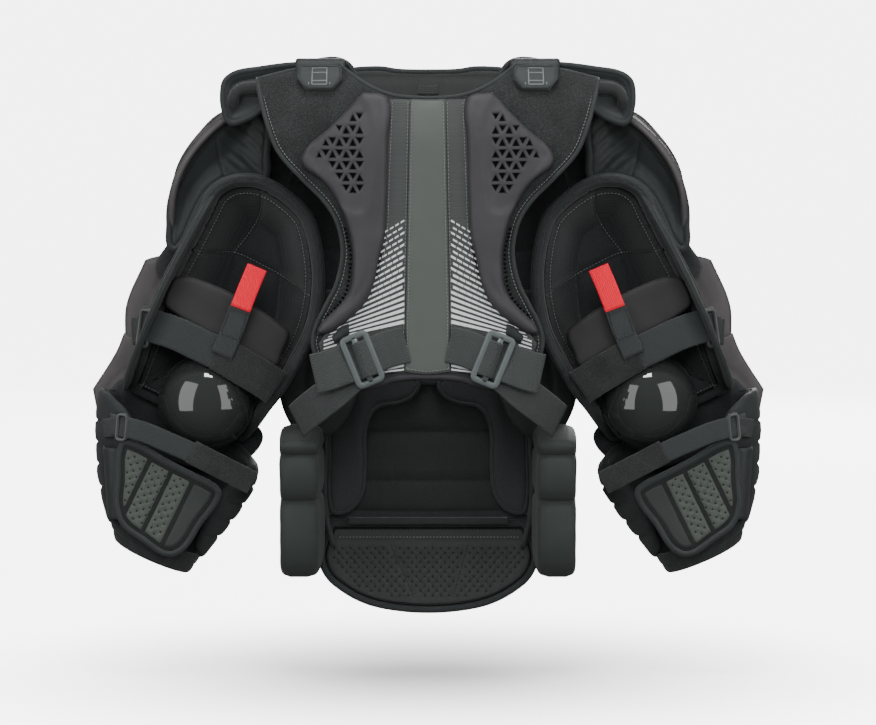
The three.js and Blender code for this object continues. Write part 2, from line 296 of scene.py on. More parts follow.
def pad(name, outline, surface, thick, material, side=1, rim=3.0, edge=14.0, spacing=6.0,
        seams=(), quilt=14.0, seam_depth=3.0, cuts=(), cut_depth=5.0, cut_slope=1.2,
        rings=EDGE_RINGS, ripple=0.0, ripple_size=30.0, seed=0.0, back=0.0, shape=None,
        step=4.0, uv=False):
    """A sewn pad: an outline on a surface, crowned by thick on its outer (1) or inner (-1) side.

    Each seam is a line that pulls the cover in. Each cut is a polygon pressed in, in the second
    material. back crowns the other side as well.
    """
    loop = smooth(outline, step)
    seam_lines = [smooth(s, 3.0, closed=False) for s in seams]
    guides = list(seam_lines)
    for line in seam_lines:
        ahead = np.gradient(line, axis=0)
        across = unit_rows(np.stack([-ahead[:, 1], ahead[:, 0]], 1))
        for away in (1.6, 4.0):
            guides += [line + across * away, line - across * away]
    guides = [g[inside(g, loop)] for g in guides if inside(g, loop).any()]
    rims = []
    for cut in cuts:
        middle = cut.mean(0)
        reach = np.linalg.norm(cut[0] - middle)
        rims += [cut, middle + (cut - middle) * (1 - cut_slope / reach)]
    points, faces = triangulate(loop, spacing, rings, guides, rims)
    u, v = points[:, 0], points[:, 1]
    depth = distance(points, [closed_line(loop)])
    height = rim + (thick - rim) * round_rise(depth / edge)
    if seam_lines:
        gap = distance(points, seam_lines)
        height -= seam_depth * (1 - round_rise(gap / quilt)) * np.clip(depth / 3, 0, 1)
    if ripple:
        height += ripple * wobble(u, v, ripple_size, seed) * np.clip(depth / 8, 0, 1)
    if shape is not None:
        height += shape(u, v, depth)
    pressed = np.zeros(len(points), bool)
    for i, cut in enumerate(cuts):
        middle = cut.mean(0)
        reach = np.linalg.norm(cut[0] - middle)
        where = np.where(np.linalg.norm(points - middle, axis=1) < reach * 1.2)[0]
        grown = middle + (rims[2 * i + 1] - middle) * 1.02
        pressed[where[inside(points[where], grown)]] = True
    height[pressed] -= cut_depth
    ground, normal = surface_frame(surface, u, v)
    front = ground + normal * (side * height)[:, None]
    behind = ground - normal * (side * back * round_rise(depth / edge))[:, None]
    ordered = faces if side > 0 else [tuple(reversed(f)) for f in faces]
    top, under, walls = shell_faces(ordered, len(points))
    materials = material if isinstance(material, (list, tuple)) else [material]
    flat = np.vstack([points, points]) if uv else None
    obj = mesh_object(name, np.vstack([front, behind]), top + under + walls, materials, uv=flat)
    if len(materials) > 1:
        index = [1 if all(pressed[i] for i in f) else 0 for f in top]
        index += [0] * (len(under) + len(walls))
        obj.data.polygons.foreach_set("material_index", index)
    return obj


def lift(line, surface, out=0.0, side=1):
    """A line on a surface placed in space and moved out of it, with its outward directions."""
    at, normal = surface_frame(surface, line[:, 0], line[:, 1])
    return at + normal * (side * out), normal * side


def sweep(path, ups, half_width, half_height, closed, sides=8, square=1.0):
    """Verts, faces and uv of a tube along path; ups point out of the surface it lies on."""
    count = len(path)
    if closed:
        ahead = np.roll(path, -1, 0) - np.roll(path, 1, 0)
    else:
        ahead = np.gradient(path, axis=0)
    ahead = unit_rows(ahead)
    across = unit_rows(np.cross(ahead, ups))
    up = np.cross(across, ahead)
    turn = np.arange(sides) / sides * 2 * math.pi + math.pi / sides
    c, s = np.cos(turn), np.sin(turn)
    c, s = np.sign(c) * np.abs(c) ** square, np.sign(s) * np.abs(s) ** square
    wide = np.broadcast_to(np.asarray(half_width, float), (count,))
    high = np.broadcast_to(np.asarray(half_height, float), (count,))
    verts = (path[:, None, :] + across[:, None, :] * (c[None, :, None] * wide[:, None, None])
             + up[:, None, :] * (s[None, :, None] * high[:, None, None])).reshape(-1, 3)
    faces = ring_faces(count, sides, closed)
    if not closed:
        faces.append(tuple(reversed(range(sides))))
        faces.append(tuple((count - 1) * sides + k for k in range(sides)))
    along = run_along(path)
    uv = np.stack([np.tile(c, count) * np.repeat(wide, sides), np.repeat(along, sides)], 1)
    return verts, faces, uv


def tube(name, path, ups, half_width, half_height, material, closed=False, **more):
    """A tube or flat band along a path."""
    verts, faces, uv = sweep(path, ups, half_width, half_height, closed, **more)
    flipped = [tuple(reversed(f)) for f in faces]
    return mesh_object(name, verts, flipped, material, uv=uv)


def capsule():
    """A stitch of length 2 and radius 1 along x."""
    sides = 6
    rings = [(-1.0, 0.0), (-0.82, 0.75), (0.0, 1.0), (0.82, 0.75), (1.0, 0.0)]
    verts = []
    for x, r in rings:
        for k in range(sides):
            a = 2 * math.pi * k / sides
            verts.append((x, r * math.cos(a), r * math.sin(a)))
    return np.array(verts), ring_faces(len(rings), sides)


CAPSULE = capsule()
STITCH_PITCH, STITCH_LENGTH, STITCH_RADIUS = 4.4, 3.0, 0.45


def stitch_row(line, ups):
    """Stitches along a line in space, as verts and faces."""
    steps = np.linalg.norm(np.diff(line, axis=0), axis=1)
    along = run_along(line)
    places = np.arange(STITCH_PITCH * 0.5, along[-1], STITCH_PITCH)
    verts, faces = [], []
    base, base_faces = CAPSULE
    for at in places:
        i = max(min(int(np.searchsorted(along, at)) - 1, len(line) - 2), 0)
        t = (at - along[i]) / max(steps[i], 1e-9)
        middle = line[i] + (line[i + 1] - line[i]) * t
        ahead = (line[i + 1] - line[i]) / max(steps[i], 1e-9)
        side = np.cross(ahead, ups[i])
        side /= max(np.linalg.norm(side), 1e-9)
        up = np.cross(side, ahead)
        first = len(verts) * len(base)
        spot = (middle + np.outer(base[:, 0], ahead) * (STITCH_LENGTH / 2)
                + np.outer(base[:, 1], side) * STITCH_RADIUS
                + np.outer(base[:, 2], up) * STITCH_RADIUS)
        verts.append(spot)
        faces += [tuple(v + first for v in f) for f in base_faces]
    if not verts:
        return np.zeros((0, 3)), []
    return np.vstack(verts), faces


def join(parts):
    """Joins lists of (verts, faces) into one."""
    verts, faces, count = [], [], 0
    for v, f in parts:
        verts.append(v)
        faces += [tuple(i + count for i in face) for face in f]
        count += len(v)
    return np.vstack(verts), faces


def stitching(name, rows, material):
    """One piece holding several rows of stitches; each row is (line, ups) in space."""
    parts = [stitch_row(line, ups) for line, ups in rows]
    verts, faces = join([p for p in parts if len(p[0])])
    return mesh_object(name, verts, faces, material)


def offset_loop(loop, inset):
    """A closed outline moved inwards."""
    moved = loop + inward_sides(loop) * inset
    keep = distance(moved, [closed_line(loop)]) > 0.9 * inset
    return moved[keep & inside(moved, loop)]


def binding(name, outline, surface, material, side=1, half_width=4.0, half_height=2.6, out=2.0,
            inset=1.0):
    """The folded tape or soft roll sewn round a pad's edge."""
    loop = offset_loop(smooth(outline, 4.0), inset)
    path, ups = lift(loop, surface, out, side)
    return tube(name, path, ups, half_width, half_height, material, True, sides=10, square=0.75)


def seam_stitches(name, lines, surface, material, out, body, slot):
    """Stitches along lines on a surface, placed on a body."""
    rows = [lift(smooth(line, 3.0, closed=False), surface, out) for line in lines]
    place(stitching(name, rows, material), body, slot)


# ---------------------------------------------------------------- placing pieces
def mirrored_twin(obj):
    """The left twin of a right piece."""
    data = obj.data.copy()
    data.transform(Matrix.Scale(-1, 4, (1, 0, 0)))
    data.flip_normals()
    twin = bpy.data.objects.new(obj.name[:-5] + "left", data)
    data.name = twin.name
    bpy.context.scene.collection.objects.link(twin)
    return twin


def place(obj, body, slot, nodes=(), bend=None):
    """Puts a piece on its body, unless bend is given, when its place is baked in and it joins no body.
    A name that ends in _right gets a mirrored left twin.

    bend is another body, and the places where the piece leaves the first and reaches the other; these
    are not used, only whether bend is given.
    """
    right = obj.name.endswith("_right")
    for piece in [obj, mirrored_twin(obj)] if right else [obj]:
        left = piece.name.endswith("_left")

        def own(name):
            return name.replace("_right", "_left") if left else name

        def spot(point):
            return tuple(c * MM for c in ((-point[0] if left else point[0]), *point[1:]))

        if bend:
            own(body)
            spot(bend[1])
            spot(bend[2])
            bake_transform(piece)
        else:
            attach(piece, own(body))
        if nodes:
            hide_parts(*[own(n) for n in nodes])


# ---------------------------------------------------------------- materials
def shade(value):
    """Linear colour from a 0 to 255 screen colour."""
    def linear(c):
        c /= 255
        return c / 12.92 if c <= 0.04045 else ((c + 0.055) / 1.055) ** 2.4
    return tuple(linear(c) for c in value) + (1.0,)


WAVE_UNIT = 20


class Look:
    """A small helper that wires one procedural material."""

    def __init__(self, name, roughness=0.8, sheen=0.0, specular=0.5):
        self.material = bpy.data.materials.new(name)
        self.material.use_nodes = True
        self.tree = self.material.node_tree
        self.shader = self.tree.nodes["Principled BSDF"]
        self.shader.inputs["Roughness"].default_value = roughness
        self.shader.inputs["Specular IOR Level"].default_value = specular
        if sheen:
            self.shader.inputs["Sheen Weight"].default_value = sheen
            self.shader.inputs["Sheen Roughness"].default_value = 0.5

    def feed(self, socket, value):
        """Links a socket to another one, or sets its value."""
        if isinstance(value, bpy.types.NodeSocket):
            self.tree.links.new(value, socket)
        else:
            socket.default_value = value

    def node(self, kind, **inputs):
        made = self.tree.nodes.new(kind)
        for key, value in inputs.items():
            self.feed(made.inputs[key.replace("_", " ")], value)
        return made

    def coordinates(self, output="Object"):
        return self.node("ShaderNodeTexCoord").outputs[output]

    def mapped(self, output, scale, turn=0.0):
        made = self.node("ShaderNodeMapping", Vector=self.coordinates(output))
        made.inputs["Scale"].default_value = scale
        made.inputs["Rotation"].default_value = (0, turn, 0) if output == "Object" else (0, 0, turn)
        return made.outputs["Vector"]

    def noise(self, size, detail=2.0):
        """Noise with lumps of a size in millimetres."""
        made = self.node("ShaderNodeTexNoise", Vector=self.coordinates())
        made.inputs["Scale"].default_value = 1 / (size * MM)
        made.inputs["Detail"].default_value = detail
        return made.outputs["Fac"]

    def ramp(self, factor, low, high, start=0.3, end=0.7):
        made = self.node("ShaderNodeValToRGB", Fac=factor)
        made.color_ramp.elements[0].position = start
        made.color_ramp.elements[0].color = low
        made.color_ramp.elements[1].position = end
        made.color_ramp.elements[1].color = high
        return made.outputs["Color"]

    def wave(self, vector, size, axis="X"):
        """Parallel ribs of a pitch in millimetres."""
        made = self.node("ShaderNodeTexWave", Vector=vector)
        made.wave_type = "BANDS"
        made.bands_direction = axis
        made.wave_profile = "SIN"
        made.inputs["Scale"].default_value = 2 * math.pi / (WAVE_UNIT * size * MM)
        made.inputs["Distortion"].default_value = 0
        return made.outputs["Fac"]

    def math(self, operation, a, b):
        made = self.tree.nodes.new("ShaderNodeMath")
        made.operation = operation
        for socket, value in zip(made.inputs, (a, b)):
            self.feed(socket, value)
        return made.outputs[0]

    def multiply(self, a, b):
        """Two colours multiplied."""
        made = self.tree.nodes.new("ShaderNodeMix")
        made.data_type = "RGBA"
        made.blend_type = "MULTIPLY"
        for index, value in ((0, 1.0), (6, a), (7, b)):
            self.feed(made.inputs[index], value)
        return made.outputs[2]

    def colour(self, socket):
        self.tree.links.new(socket, self.shader.inputs["Base Color"])

    def bump(self, height, depth):
        """Fine relief; depth is in millimetres."""
        made = self.node("ShaderNodeBump", Height=height)
        made.inputs["Strength"].default_value = 1.0
        made.inputs["Distance"].default_value = depth * MM
        self.tree.links.new(made.outputs["Normal"], self.shader.inputs["Normal"])


def tint(colour, factor):
    """A colour made lighter or darker."""
    return tuple(min(1.0, c * factor) for c in colour[:3]) + (1.0,)


def fuzzy(name, rgb, pile=1.5, contrast=0.5, sheen=0.25):
    """Brushed loop pile or hook tape."""
    look = Look(name, roughness=0.95, sheen=sheen, specular=0.2)
    colour = shade(rgb)
    fine = look.noise(pile, 3.0)
    broad = look.noise(38, 2.0)
    speck = look.ramp(fine, tint(colour, 1 - contrast), tint(colour, 1 + 1.6 * contrast), 0.35, 0.7)
    patch = look.ramp(broad, (0.8, 0.8, 0.8, 1), (1.2, 1.2, 1.2, 1))
    look.colour(look.multiply(speck, patch))
    look.bump(fine, pile * 0.5)
    return look.material


def foam(name, rgb, roughness=0.62):
    """Moulded foam with a matt skin."""
    look = Look(name, roughness=roughness, specular=0.35)
    colour = shade(rgb)
    broad = look.noise(45, 3.0)
    look.colour(look.ramp(broad, tint(colour, 0.88), tint(colour, 1.12)))
    grain = look.noise(0.9, 2.0)
    look.bump(grain, 0.12)
    return look.material


def plastic(name, rgb, roughness, coat=0.0, grain=0.0):
    """Moulded plastic, thread or print, with an optional clear coat and grain."""
    look = Look(name, roughness=roughness)
    colour = shade(rgb)
    broad = look.noise(60, 2.0)
    look.colour(look.ramp(broad, tint(colour, 0.94), tint(colour, 1.06)))
    if coat:
        look.shader.inputs["Coat Weight"].default_value = coat
        look.shader.inputs["Coat Roughness"].default_value = 0.04
    if grain:
        look.bump(look.noise(0.7, 2.0), grain)
    return look.material


def woven(name, rgb, pitch=1.6, roughness=0.75, sheen=0.15, contrast=0.35, specular=0.35,
          across="Y", along="X"):
    """Webbing with ribs across its length, from the strap's own uv."""
    look = Look(name, roughness=roughness, sheen=sheen, specular=specular)
    colour = shade(rgb)
    vector = look.mapped("UV", (1, 1, 1))
    ribs = look.wave(vector, pitch, across)
    cords = look.wave(vector, pitch * 1.6, along)
    weave = look.math("MULTIPLY", look.math("ADD", ribs, 0.35), look.math("ADD", cords, 0.6))
    grey = look.math("MULTIPLY", weave, 0.6)
    look.colour(look.ramp(grey, tint(colour, 1 - contrast), tint(colour, 1 + contrast), 0.1, 0.9))
    look.bump(weave, pitch * 0.22)
    return look.material


def cloth(name, rgb, pitch=1.1, roughness=0.7, sheen=0.1, contrast=0.18, turn=0.6, specular=0.3):
    """Woven or knitted cover, with threads in two directions."""
    look = Look(name, roughness=roughness, sheen=sheen, specular=specular)
    colour = shade(rgb)
    vector = look.mapped("Object", (1, 1, 1), turn)
    threads = look.math("MULTIPLY", look.wave(vector, pitch, "X"), look.wave(vector, pitch, "Z"))
    broad = look.noise(26, 3.0)
    both = look.math("ADD", look.math("MULTIPLY", threads, 0.45), look.math("MULTIPLY", broad, 0.55))
    look.colour(look.ramp(both, tint(colour, 1 - contrast), tint(colour, 1 + contrast), 0.2, 0.8))
    look.bump(threads, pitch * 0.18)
    return look.material


def knit(name, rgb, hole=2.2, roughness=0.85, sheen=0.15, depth=0.35, contrast=0.45):
    """Spacer knit with small open cells."""
    look = Look(name, roughness=roughness, sheen=sheen, specular=0.25)
    colour = shade(rgb)
    cells = look.node("ShaderNodeTexVoronoi", Vector=look.mapped("Object", (1, 0.25, 1)))
    cells.inputs["Scale"].default_value = 1 / (hole * MM)
    cells.inputs["Randomness"].default_value = 0.35
    open_cell = look.ramp(cells.outputs["Distance"], tint(colour, 1 - contrast),
                          tint(colour, 1 + 0.4 * contrast), 0.15, 0.55)
    look.colour(open_cell)
    look.bump(cells.outputs["Distance"], depth)
    return look.material


LOOP_PILE = fuzzy("loop_pile", (36, 38, 38), 1.6, 0.45)
HOOK_TAPE = fuzzy("hook_tape", (38, 39, 39), 1.1, 0.4)
CHARCOAL = foam("charcoal_foam", (58, 57, 60))
WING_FOAM = foam("wing_foam", (74, 72, 72), 0.68)
INNER_FOAM = foam("inner_foam", (46, 45, 45), 0.75)
# Painted shade: near-black cloth on the floors of the shallow pressed vents, standing in for the
# darkness seen through open holes.
VENT_SHADE = cloth("vent_dark", (14, 14, 15), 1.2)
SPINE_CLOTH = cloth("spine_cloth", (76, 81, 78), 0.8, 0.45, 0.0, 0.06, 0.0, 0.45)
RIBBED = woven("ribbed_webbing", (62, 65, 64), 1.3, 0.6, contrast=0.1, across="X", along="Y")
WEBBING = woven("webbing", (56, 60, 59), 1.5, 0.62, 0.1, 0.22)
ELASTIC = woven("elastic", (48, 52, 52), 1.2, 0.75, 0.1, 0.25)
RED = woven("red_webbing", (236, 26, 52), 1.5, 0.6, 0.0, 0.1, 0.2)
BUCKLE = plastic("buckle_plastic", (82, 88, 88), 0.38, 0.0, 0.03)
RING_STEEL = plastic("ring_plastic", (58, 61, 60), 0.3)
EMBOSS = plastic("emboss_print", (112, 117, 116), 0.5)
GLOSS = plastic("gloss_shell", (46, 49, 48), 0.07, 1.0)
LINER = knit("liner_knit", (43, 45, 46), 2.0)
NYLON = cloth("nylon_lining", (39, 43, 43), 0.7, 0.5, 0.1, 0.12, 0.5, 0.45)
SHELL = cloth("cap_cover", (40, 44, 44), 1.3, 0.62, 0.1, 0.15)
RIB_COVER = cloth("rib_cover", (47, 52, 50), 1.0, 0.6, 0.1, 0.12)
BINDING = cloth("binding_tape", (44, 46, 46), 1.0, 0.7, 0.2, 0.2, 0.8)
TAPE = cloth("edge_tape", (46, 50, 50), 1.0, 0.62, 0.1, 0.15, 0.8)
AIR_MESH = knit("air_mesh", (66, 71, 67), 1.5, 0.7, 0.1, 0.3, 0.3)
BELLY_MESH = knit("belly_mesh", (56, 59, 58), 1.5, 0.8, 0.1, 0.3, 0.3)
# Painted shade: dark cloth on the floors of the shallow perforation pits, standing in for the darkness
# inside the holes.
PIT_SHADE = cloth("pit_dark", (24, 26, 26), 1.0)
TAB_CLOTH = cloth("tab_cloth", (56, 60, 60), 1.6, 0.6, 0.1, 0.12)
VENT_CLOTH = cloth("channel_cloth", (30, 32, 32), 1.0)
WRIST_PLAIN = cloth("wrist_plain", (50, 54, 52), 1.0, 0.65, 0.1, 0.12)
ELASTIC_PLAIN = knit("cuff_elastic", (40, 43, 43), 1.6, 0.8, 0.1, 0.25)
BELLY_KNIT = knit("belly_knit", (36, 38, 38), 1.8)
THREAD = plastic("thread", (120, 124, 122), 0.7)
DARK_THREAD = plastic("dark_thread", (20, 21, 21), 0.7)
PRINT = plastic("printed_dash", (200, 203, 204), 0.5)


# ---------------------------------------------------------------- the back panel
BACK_DEPTH = -128.0
BACK_WRAP = 0.0006
LEAN_FROM, LEAN_HEIGHT, LEAN = -70.0, 105.0, 45.0


def back_face(x, z):
    """Outer face of the back panel."""
    lean = np.clip((z - LEAN_FROM) / LEAN_HEIGHT, 0, 1)
    return BACK_DEPTH + BACK_WRAP * x * x + LEAN * lean * lean


def back_at(depth):
    """The same surface, moved forwards into the panel."""
    return lambda x, z: back_face(x, z) + depth


NECKLINE = [(0, -11), (21, -10.5), (46, -7), (69, 2), (87, 13), (109, 30, 1)]
ARMHOLE = [(212, 12, 1), (205, -18), (196, -48), (184, -76), (154, -110), (129, -135),
           (114, -157), (107, -179), (105, -204), (113, -240), (124, -262), (137, -289),
           (142, -311), (138, -329, 1)]
HEM = [(80, -361), (45, -352), (0, -349)]
BACK_OUTLINE = mirrored_loop(NECKLINE + [(160, 24)] + ARMHOLE + HEM)


def triangle_vents():
    """The triangular holes of the moulded piece, row by row inside its vent field."""
    field = np.array([(88, -20), (74, -34), (74, -126), (84, -142), (138, -78)], float)
    pitch = 16.5
    tall = pitch * math.sin(math.pi / 3)
    reach = pitch * 0.38
    vents = []
    for row in range(10):
        for column in range(8):
            for up in (0, 1):
                cx = 66 + column * pitch + (row % 2) * pitch / 2 + up * pitch / 2
                cz = -14 - row * tall - (tall / 3 if up else 2 * tall / 3)
                middle = np.array([cx, cz])
                if not inside(middle[None], field)[0]:
                    continue
                room = distance(middle[None], [closed_line(field)])[0]
                if room < 2.2:
                    continue
                size = min(reach, room + 2.4)
                vents.append(polygon(cx, cz, size, 3, -90 if up else 90))
    return vents


def hex_vents(line, rows):
    """Hexagonal holes in rows beside a line."""
    pitch, reach = 5.4, 2.2
    holes = []
    ahead = np.gradient(line, axis=0)
    side = unit_rows(np.stack([ahead[:, 1], -ahead[:, 0]], 1))
    steps = run_along(line)
    for row in range(rows):
        for at in np.arange(pitch * (0.5 + 0.5 * (row % 2)), steps[-1], pitch):
            i = min(int(np.searchsorted(steps, at)), len(line) - 1)
            middle = line[i] + side[i] * (1.2 + row * pitch * 0.87)
            holes.append(polygon(middle[0], middle[1], reach, 6, 30))
    return holes


MOULD_OUTER = [(79, -5, 1), (116, -42), (154, -82), (153, -92), (128, -112), (110, -138),
               (100, -161), (92, -198), (92, -222), (96, -247), (107, -263), (122, -278),
               (132, -289)]
MOULD_INNER = [(135, -299), (121, -298), (102, -286), (87, -273), (75, -259), (66, -238),
               (59, -206), (53, -183), (50, -140), (48, -60), (47, -14), (52, -9)]


def make_back_panel():
    """The loop-fabric panel with its bound edge and the mesh along the armholes, whose holes are
    shallow pits floored with painted shade.
    """
    armhole = smooth([(102, -168), (95, -200), (96, -226), (101, -250), (113, -267),
                      (128, -281)], 1.0, False)
    holes = hex_vents(armhole, 2)
    holes += [h * (-1, 1) for h in holes]
    border = smooth(BACK_OUTLINE, 4.0)
    room = [distance(h.mean(0)[None], [closed_line(border)])[0] for h in holes]
    holes = [h for h, gap in zip(holes, room) if gap > 7.2]
    panel = pad("back_panel_cover", BACK_OUTLINE, on(back_at(11)), 11, [LOOP_PILE, VENT_SHADE],
                edge=10, rim=7, spacing=8, cuts=holes, cut_depth=3.5, cut_slope=0.4,
                ripple=0.5, ripple_size=40)
    place(panel, "back_plate", "loop_fabric", ["back_panel"])
    tape = binding("back_panel_binding", BACK_OUTLINE, on(back_at(5)), TAPE, half_width=3.2,
                   half_height=6.8, out=0)
    place(tape, "back_plate", "loop_fabric")
    inner = offset_loop(smooth(BACK_OUTLINE, 3.0), 5.2)
    line, ups = lift(closed_line(inner), on(back_at(0)), 0.6)
    place(stitching("back_panel_stitches", [(line, ups)], THREAD), "back_plate", "loop_fabric")


def make_moulding():
    """The moulded piece with its vents, shallow pits floored with painted shade, a sunk vent field and
    a groove.
    """
    vents = triangle_vents()
    ridge = smooth([(70, -26), (70, -122), (82, -152), (142, -90), (147, -80), (86, -14)], 3.0)
    groove = [closed_line(ridge), smooth([(60, -24), (60, -150), (66, -200), (78, -240),
                                          (104, -268)], 3.0, False)]

    def press(x, z, depth):
        at = np.stack([x, z], 1)
        sunk = soft_step(distance(at, groove[:1]) / 6)
        field = inside(at, ridge)
        step_down = np.where(field, -3.5 * sunk, 0.0)
        line = 1 - soft_step(distance(at, groove[1:]) / 5)
        return step_down - 1.6 * line

    piece = pad("back_moulding_cover_right", MOULD_OUTER + MOULD_INNER, on(back_at(-1)), 13,
                [CHARCOAL, VENT_SHADE], edge=10, rim=4, spacing=4.5, cuts=vents, cut_depth=6,
                cut_slope=1.2, shape=press)
    place(piece, "back_plate", "moulded_foam", ["back_moulding_right"])


def make_spine():
    """The smooth strip down the middle, the ribbed webbing beside it and their stitches."""
    side = [(20, -13, 1), (46, -13, 1), (54, -110), (56, -200), (64, -232), (78, -258),
            (99, -282), (124, -298), (134, -312, 1), (128, -332, 1), (74, -347, 1),
            (27, -347, 1)]
    ribbed = pad("spine_webbing_right", side, on(back_at(-0.5)), 3, RIBBED, rim=2, edge=3,
                 spacing=8, rings=(2, 5), step=5, uv=True, ripple=0.5, ripple_size=18)
    place(ribbed, "back_plate", "webbing")
    strip = mirrored_loop([(0, -12.5), (21.5, -12, 1), (24, -150), (28, -346, 1), (0, -349)])
    spine = pad("spine_strip", strip, on(back_at(-3.2)), 2.6, SPINE_CLOTH, rim=1.4, edge=3,
                spacing=8, rings=(1.5, 4), ripple=0.35, ripple_size=26)
    place(spine, "back_plate", "spine_fabric", ["spine_panel"])
    rows = []
    for sign in (-1, 1):
        for inset, height in ((2.4, -5.8), (-2.4, -3.6)):
            edge = smooth([(sign * (21.5 - inset), -15), (sign * (24 - inset), -150),
                           (sign * (28 - inset), -344)], 4.0, False)
            rows.append(lift(edge, on(back_at(height)), 0.4))
        edge = smooth([(sign * 43, -15), (sign * 47, -110), (sign * 50, -180),
                       (sign * 54, -205)], 4.0, False)
        rows.append(lift(edge, on(back_at(-3.6)), 0.4))
    hem_line = smooth([(-26, -342), (0, -345), (26, -342)], 4.0, False)
    rows.append(lift(hem_line, on(back_at(-5.8)), 0.4))
    place(stitching("spine_stitches", rows, THREAD), "back_plate", "spine_fabric")
    place(dashes("printed_dashes_right"), "back_plate", "spine_fabric")


def make_hem():
    """The moulded lip along the panel's lower edge."""
    lip = mirrored_loop([(0, -346), (30, -347), (60, -352), (82, -357, 1), (86, -368),
                         (70, -369), (40, -360), (0, -357)])
    hem = pad("hem_lip", lip, on(back_at(9)), 12, CHARCOAL, edge=6, rim=3, spacing=5,
              rings=(1.5, 4))
    place(hem, "back_plate", "moulded_foam", ())


def bar(verts, faces, a, b, width):
    """A thin printed bar from a to b on the back."""
    f = len(verts)
    for (x, z), half in ((a, -width / 2), (b, -width / 2), (b, width / 2), (a, width / 2)):
        for raised in (-3.6, -4.1):
            verts.append((x, float(back_face(x, z + half)) + raised, z + half))
    faces += [(f + 1, f + 3, f + 5, f + 7), (f, f + 6, f + 4, f + 2), (f, f + 2, f + 3, f + 1),
              (f + 2, f + 4, f + 5, f + 3), (f + 4, f + 6, f + 7, f + 5), (f + 6, f, f + 1, f + 7)]


def dashes(name):
    """The printed slanted dashes beside the spine strip, that fan out towards the hem."""
    verts, faces = [], []
    rows = 18
    edge_drop = [183, 206, 238, 258, 272, 285, 297, 312]
    edge_x = [54, 60, 66, 76, 88, 102, 118, 126]
    for row in range(rows):
        t = row / (rows - 1)
        z_in = -160 - 124 * t
        slope = 0.60 - 0.36 * t**2.2
        length = 4.4 + 5 * t
        gap = 2.2 - 2.6 * t
        x = 28.6 + (2.5 if row % 2 and gap > 0.4 else 0)
        while x < 126:
            x1 = x + length
            limit = float(np.interp(slope * (x1 - 28) - z_in, edge_drop, edge_x))
            if x >= limit:
                break
            x1 = min(x1, limit)
            thin = 1 - 0.55 * (x - 28) / 70
            z0, z1 = z_in - (x - 28.6) * slope, z_in - (x1 - 28.6) * slope
            width = (2.3 + 2.0 * t) * thin
            bar(verts, faces, (x, z0), (x1, z1), width)
            if x1 >= limit:
                break
            x = x1 + max(gap, 0.0)
    for a, b, width in (((112, -303), (128, -309), 2.2), ((112, -308), (128, -313.5), 2.2),
                        ((112, -313), (128, -318), 2.0), ((29, -337), (50, -342), 4.0),
                        ((29, -343), (58, -346.5), 2.0)):
        bar(verts, faces, a, b, width)
    return mesh_object(name, verts, faces, PRINT, smooth_shade=False)


# ---------------------------------------------------------------- stage, lights and camera
ELEVATION = math.radians(4)
CAMERA_FAR = 4000.0
FRAME_WIDE = 1112.52
SENSOR = 36
LOOK_AT = Vector((12.7, 0, -343.5))


def make_camera():
    """A level, slightly raised camera behind the wearer's back."""
    data = bpy.data.cameras.new("camera")
    camera = bpy.data.objects.new("camera", data)
    bpy.context.scene.collection.objects.link(camera)
    away = Vector((0, -math.cos(ELEVATION), math.sin(ELEVATION))) * CAMERA_FAR
    camera.location = (LOOK_AT + away) * MM
    camera.rotation_euler = (math.radians(90) - ELEVATION, 0, 0)
    data.sensor_fit = "HORIZONTAL"
    data.sensor_width = SENSOR
    data.lens = SENSOR * CAMERA_FAR / FRAME_WIDE
    data.clip_end = 100
    bpy.context.scene.camera = camera


def area_light(name, at, aim, size, power, tall=None):
    """A soft lamp at a place in metres, turned towards another."""
    data = bpy.data.lights.new(name, "AREA")
    data.shape = "RECTANGLE"
    data.size = size
    data.size_y = tall or size
    data.energy = power
    light = bpy.data.objects.new(name, data)
    light.location = at
    light.rotation_euler = (Vector(aim) - Vector(at)).to_track_quat("-Z", "Y").to_euler()
    bpy.context.scene.collection.objects.link(light)
    return light


FLOOR = -0.742
BOWL_FLAT, BOWL_BEND, BOWL_STEPS = 12.0, 5.0, 12


def make_world():
    """Even pale light from all round."""
    world = bpy.data.worlds.new("studio")
    bpy.context.scene.world = world
    world.use_nodes = True
    world.node_tree.nodes["Background"].inputs["Color"].default_value = (1, 1, 1, 1)
    world.node_tree.nodes["Background"].inputs["Strength"].default_value = 0.27
    world.cycles_visibility.glossy = False


